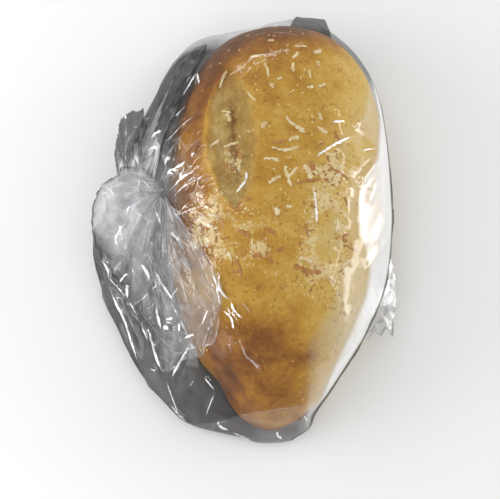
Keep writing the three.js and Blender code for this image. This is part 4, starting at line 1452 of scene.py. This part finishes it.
rimDark = 0.85


def slabOf(upper, lower):  # a closed shape between two sheets with the same steps
    rows, columns = upper.shape[:2]
    count = rows * columns
    points = np.vstack([upper.reshape(-1, 3), lower.reshape(-1, 3)])
    top = gridFaces(rows, columns, False)
    faces = top + [[v + count for v in face[::-1]] for face in top]
    index = np.arange(count).reshape(rows, columns)
    rim = np.concatenate([index[0, :-1], index[:-1, -1], index[-1, :0:-1], index[:0:-1, 0]])
    for a, b in zip(rim, np.roll(rim, -1)):
        faces.append([int(b), int(a), int(a + count), int(b + count)])
    return points, facedOut(points, faces)


def restHeight(x, y):  # height of the film under places on the plan, filled in past its edge
    height = np.full(x.shape, np.nan)
    for place in np.ndindex(x.shape):
        hit = filmTree.ray_cast(Vector((x[place] * mm, y[place] * mm, 0.2)), downward)[0]
        if hit is not None:
            height[place] = hit.z / mm
    for row in height:  # past the edge the sheet stays at the last height met
        known = np.flatnonzero(~np.isnan(row))
        row[:] = np.interp(np.arange(len(row)), known, row[known]) if len(known) else heightPastFilm
    for _ in range(sheetSmoothing):
        height[1:-1, 1:-1] = 0.25 * (height[:-2, 1:-1] + height[2:, 1:-1]
                                     + height[1:-1, :-2] + height[1:-1, 2:])
    return height


def darkRim(fan, s):  # 1 on the part of the rim that is the bag's outline
    return between(*fan["darkRim"], 0.03, s) if "darkRim" in fan else 0 * s


def fanPlan(fan, rng):  # places on the plan, and where they are round the fan and out from its inner edge
    across, out = fan["steps"]
    inner, _ = evenPath(smoothPath(fan["inner"]), across)
    outer = np.array(fan["outer"], float) if fan.get("corners") else smoothPath(fan["outer"])
    outer, s = evenPath(outer, across)
    t = np.linspace(0, 1, out)
    wander = rng.normal(0, 1, across // 3)
    ragged = 1 + raggedRim * np.interp(np.linspace(0, 1, across), np.linspace(0, 1, across // 3), wander)
    plan = inner[:, None] + (outer - inner)[:, None] * (t[None, :] * ragged[:, None])[..., None]
    return plan[..., 0], plan[..., 1], s[:, None], t[None, :]


def knotPuff(fan, x, y, s, t):  # a soft bunch with broad lobes that run to the neck
    if "puff" not in fan:
        return np.zeros_like(x)
    (mx, my), (rx, ry), height = fan["puff"]
    d = np.hypot((x - mx) / rx, (y - my) / ry)
    around, out = np.broadcast_arrays(s * knotLobes["around"], t * knotLobes["out"])
    places = np.column_stack([around.ravel(), out.ravel(), np.zeros(x.size)])
    lobes = lumps(places, knotLobes["size"], fan["seed"] + 7, 2).reshape(x.shape)
    return np.maximum(0, 1 - d ** 2.4) ** 0.8 * height * (1 + fan["lobes"] * lobes)


def fanPleats(fan, s, t, rng):  # sharp pleats along the fan, and the lines of their crests
    ridge, crest = np.zeros((s.size, t.size)), np.zeros((s.size, t.size))
    for k in range(fan["pleats"]):
        at = (k + rng.uniform(0.1, 0.9)) / fan["pleats"]
        sway = at + rng.uniform(-0.05, 0.05) * t + 0.012 * np.sin(5 * t + rng.uniform(0, 6))
        width = rng.uniform(0.35, 0.8) / fan["pleats"]
        off = np.abs(s - sway)
        ridge += rng.uniform(0.3, 1.2) * np.clip(1 - off / width, 0, 1)
        crest = np.maximum(crest, rng.random() ** 3 * hump(off * s.size, 0, 0.9))
    return ridge, crest


def fanSheets(fan):  # upper and lower sheet, and what shows on the upper one
    rng = np.random.default_rng(fan["seed"])
    x, y, s, t = fanPlan(fan, rng)
    rest = restHeight(x, y)
    puff = knotPuff(fan, x, y, s, t)
    free = 1 - smoothStep(0, 6, puff)
    ridge, crest = fanPleats(fan, s, t, rng)

    # Crumpled facets between the pleats, and a curled rim
    cells = np.broadcast_arrays(s * fan["facetCells"][0], t * fan["facetCells"][1])
    crumpled = facets(cells[0].ravel(), cells[1].ravel(), fan["seed"] + 3)
    crush, folds, pane = (field.reshape(x.shape) for field in crumpled)
    grow = smoothStep(0, 0.25, t) * (0.25 + 0.75 * free)
    lift = fan["offset"] + puff + grow * (fan["pleatHeight"] * ridge + fan["facetHeight"] * crush)
    edge = smoothStep(0.85, 1.0, t) * rng.uniform(0, 1, s.size)[:, None] ** 2
    lift = lift + fan["curl"] * edge * free
    sheet = gridTree(np.stack([x, y, rest + fan["offset"] + puff], axis=-1), False)
    folded, crestOff, bold = creaseLift(x.ravel(), y.ravel(), sheet, fanCreases)
    lift = lift + folded.reshape(x.shape)

    # The lower sheet lies on the film, and meets the upper one at the rim
    upper = np.stack([x, y, np.maximum(rest + lift, rest + sheetLift["least"])], axis=-1)
    thin = upper[..., 2] - sheetThickness
    close = smoothStep(1.0, 0.94, t) * smoothStep(0, 0.03, s) * smoothStep(1, 0.97, s)
    low = np.minimum(rest + sheetLift["under"], thin)
    lower = np.stack([x, y, low * close + thin * (1 - close)], axis=-1)
    rim = 0.8 * hump((1 - t) * t.size, 0, 0.9) * (1 - darkRim(fan, s))
    quiet = 1 - fan["quiet"] * smoothStep(0.42, 0.22, s)
    lines = np.maximum(rim, quiet * np.maximum(crest, fan["foldLines"] * folds) * (0.6 + 0.4 * free))
    return upper, lower, {"puff": puff, "pane": pane, "lines": lines, "crestOff": crestOff, "crest": bold}


def makeFan(name):
    fan = fans[name]
    upper, lower, shown = fanSheets(fan)
    points, faces = slabOf(upper, lower)
    piece = makePiece(name, points, faces, filmMaterials["bunchedFilm" if "puff" in fan else "creasedFilm"])
    across, out = fan["steps"]
    s, t = np.linspace(0, 1, across)[:, None], np.linspace(0, 1, out)[None, :]
    bunched, spread = smoothStep(0.5, 9.0, shown["puff"]), shown["pane"] ** 3
    outline = darkRim(fan, s) * smoothStep(0.95, 0.99, t)

    shoulder = knotShoulder["clearer"] * bell(upper[..., 0], upper[..., 1], *knotShoulder["spot"])
    haze = np.interp(t, (0, 0.35, 1), fan["haze"]) * (0.4 + 2.4 * spread)
    haze = np.maximum(haze, fan["haze"][0] * bunched * (1 - shoulder))
    pale, first, last, thins = fan["paleSide"]
    haze = haze + pale * between(first, last, 0.05, s) * smoothStep(1.0, thins, t)
    crinkle = np.interp(t, (0, 0.5), fan["crinkle"]) * (1 - 0.75 * bunched)
    skirt = smoothStep(0.3, 0.4, s) * smoothStep(0.5, 0.9, t) * (1 - bunched)
    smoky = fan["smoky"] * smoothStep(-0.1, 0.5, t) + fan.get("smokySkirt", 0) * skirt
    smoky = np.maximum(smoky, rimDark * outline)

    def onBoth(values):
        return np.tile(values.ravel(), 2)

    def onTop(values):
        return np.concatenate([values.ravel(), np.zeros(values.size)])

    setFields(piece, crinkle=onBoth(crinkle), white=onTop(knotWhite * bunched * spread),
              crease=onTop(shown["lines"]), crestOff=onBoth(shown["crestOff"]), crest=onTop(shown["crest"]),
              smoky=onBoth(smoky), haze=onBoth(haze * (1 - outline)))
    cells = fan["foldCells"]
    fold = np.stack(np.broadcast_arrays(s * cells[0], t * cells[1], np.zeros((1, 1))), axis=-1).reshape(-1, 3)
    setVectors(piece, "fold", np.vstack([fold, fold + (3.7, 5.1, 0)]))  # another pattern on the lower sheet
    print(name, len(faces), "faces")
    return piece


looseFilm = [makeFan(name) for name in fans]


# Flat corners of the sealed end. bands run along the rim: place out from the root, width and how dark.

sealedCorners = [
    {"root": [(15, 74, 17), (26, 76.5, 16), (37, 74, 17)],
     "rim": [(20.5, 85.5, 17), (22, 87.3, 17), (34, 86, 17), (36, 81, 17)],
     "smoky": 0.72, "haze": 0.01, "double": 0.0, "bands": []},
    {"root": [(59.5, -14, 12), (56, -30, 12), (46, -48, 12)],
     "rim": [(61.5, -20, 10), (61.8, -32, 9), (60, -46.5, 9), (57.4, -42.5, 9), (55.4, -46, 9), (53, -44, 10),
             (50, -47, 10)],
     "smoky": 0.06, "haze": 0.2, "double": 0.12, "bands": [(0.4, 0.1, 0.4), (1.0, 0.12, 0.7)]},
]
cornerSheet = {"across": 60, "out": 24, "wave": 0.7, "waveSize": 5.0, "seed": 61, "crinkle": 0.25,
               "foldSize": 4.0}


def makeCorners(material):
    points, faces, smoky, haze, double = [], [], [], [], []
    across, out = cornerSheet["across"], cornerSheet["out"]
    t = np.linspace(0, 1, out)
    for k, corner in enumerate(sealedCorners):
        root, _ = evenPath(smoothPath(corner["root"]), across)
        rim, _ = evenPath(np.array(corner["rim"], float), across)
        grid = root[:, None, :] + (rim - root)[:, None, :] * t[None, :, None]
        wave = lumps(grid.reshape(-1, 3), cornerSheet["waveSize"], cornerSheet["seed"] + k, 2)
        grid[..., 2] += cornerSheet["wave"] * wave.reshape(grid.shape[:2]) * t
        slab, slabFaces = slabOf(grid, grid - (0, 0, sheetThickness))
        addShape(points, faces, slab, slabFaces)
        shade = np.full(out, corner["smoky"])
        for middle, width, dark in corner["bands"]:
            shade = np.maximum(shade, dark * hump(t, middle, width))
        smoky.append(np.tile(shade, 2 * across))
        haze.append(np.full(len(slab), corner["haze"]))
        double.append(np.full(len(slab), corner["double"]))
    points = np.vstack(points)
    piece = makePiece("bagCorners", points, faces, material)
    setFields(piece, smoky=np.concatenate(smoky), haze=np.concatenate(haze), double=np.concatenate(double),
              crinkle=np.full(len(points), cornerSheet["crinkle"]))
    setVectors(piece, "fold", points / cornerSheet["foldSize"])
    return piece


bagCorners = makeCorners(filmMaterials["creasedFilm"])
print("loose film and corners made")


# Floor, light and world

studio = {
    "floorSize": 12.0,
    "floorDrop": 0.0003,
    "floorTone": (0.86, 0.86, 0.855, 1),
    "worldTone": (1, 1, 1, 1),
    "worldStrength": 0.74,
    "suns": {  # where the light comes from, strength and angle across
        "keyLight": ((0.9, 0.2, 0.18), 0.22, 12),
    },
    "cards": {  # place, what it faces, size in metres and power
        "rightCard": ((0.6, 0.05, 0.07), (0.05, 0.0, 0.02), (0.5, 0.14), 0.7),
        "rightStrip": ((0.5, 0.1, 0.3), (0, 0, 0.02), (0.5, 0.03), 0.5),
        "leftCard": ((-0.6, -0.2, 0.2), (-0.03, 0, 0.02), (0.6, 0.3), 1.0),
        "leftStrip": ((-0.5, 0.0, 0.28), (-0.03, 0, 0.02), (0.5, 0.04), 1.0),
        "backStrip": ((-0.15, 0.55, 0.25), (0, 0, 0.02), (0.4, 0.03), 0.5),
        "frontStrip": ((-0.3, -0.5, 0.3), (0, 0, 0.02), (0.3, 0.03), 0.4),
    },
}


def addLamp(name, data, place, direction):
    lamp = bpy.data.objects.new(name, data)
    lamp.location = place
    lamp.rotation_euler = direction.to_track_quat("-Z", "Y").to_euler()
    bpy.context.scene.collection.objects.link(lamp)


def makeSun(name, start, strength, angle):
    data = bpy.data.lights.new(name, "SUN")
    data.energy = strength
    data.angle = math.radians(angle)
    addLamp(name, data, (0, 0, 0), -Vector(start))


def makeSoftBox(name, place, aim, size, power):
    data = bpy.data.lights.new(name, "AREA")
    data.shape = "RECTANGLE"
    data.size, data.size_y = size
    data.energy = power
    addLamp(name, data, place, Vector(aim) - Vector(place))


def makeFloor():
    material, tree = newMaterial("paleFloor")
    out = addNode(tree, "ShaderNodeOutputMaterial")
    matt = addNode(tree, "ShaderNodeBsdfDiffuse")
    matt.inputs["Color"].default_value = studio["floorTone"]
    link(tree, matt.outputs[0], out.inputs["Surface"])
    size = studio["floorSize"] / 2
    corners = [(-size, -size, 0), (size, -size, 0), (size, size, 0), (-size, size, 0)]
    mesh = bpy.data.meshes.new("floor")
    mesh.from_pydata(corners, [], [(0, 1, 2, 3)])
    mesh.materials.append(material)
    floor = bpy.data.objects.new("floor", mesh)
    floor.location.z = -studio["floorDrop"]
    bpy.context.scene.collection.objects.link(floor)


def makeStudio():
    makeFloor()
    world = bpy.data.worlds.new("studioWorld")
    world.use_nodes = True
    background = world.node_tree.nodes["Background"]
    background.inputs["Color"].default_value = studio["worldTone"]
    background.inputs["Strength"].default_value = studio["worldStrength"]
    bpy.context.scene.world = world
    for name, sun in studio["suns"].items():
        makeSun(name, *sun)
    for name, card in studio["cards"].items():
        makeSoftBox(name, *card)


makeStudio()
scene = bpy.context.scene
scene.view_settings.view_transform = "Standard"
scene.cycles.transparent_max_bounces = 40
print("studio made")

finishPiece(breadLoaf)
for piece in cheesePieces:
    finishPiece(piece)
for piece in (bagFilm, *looseFilm, bagCorners):
    finishPiece(piece)
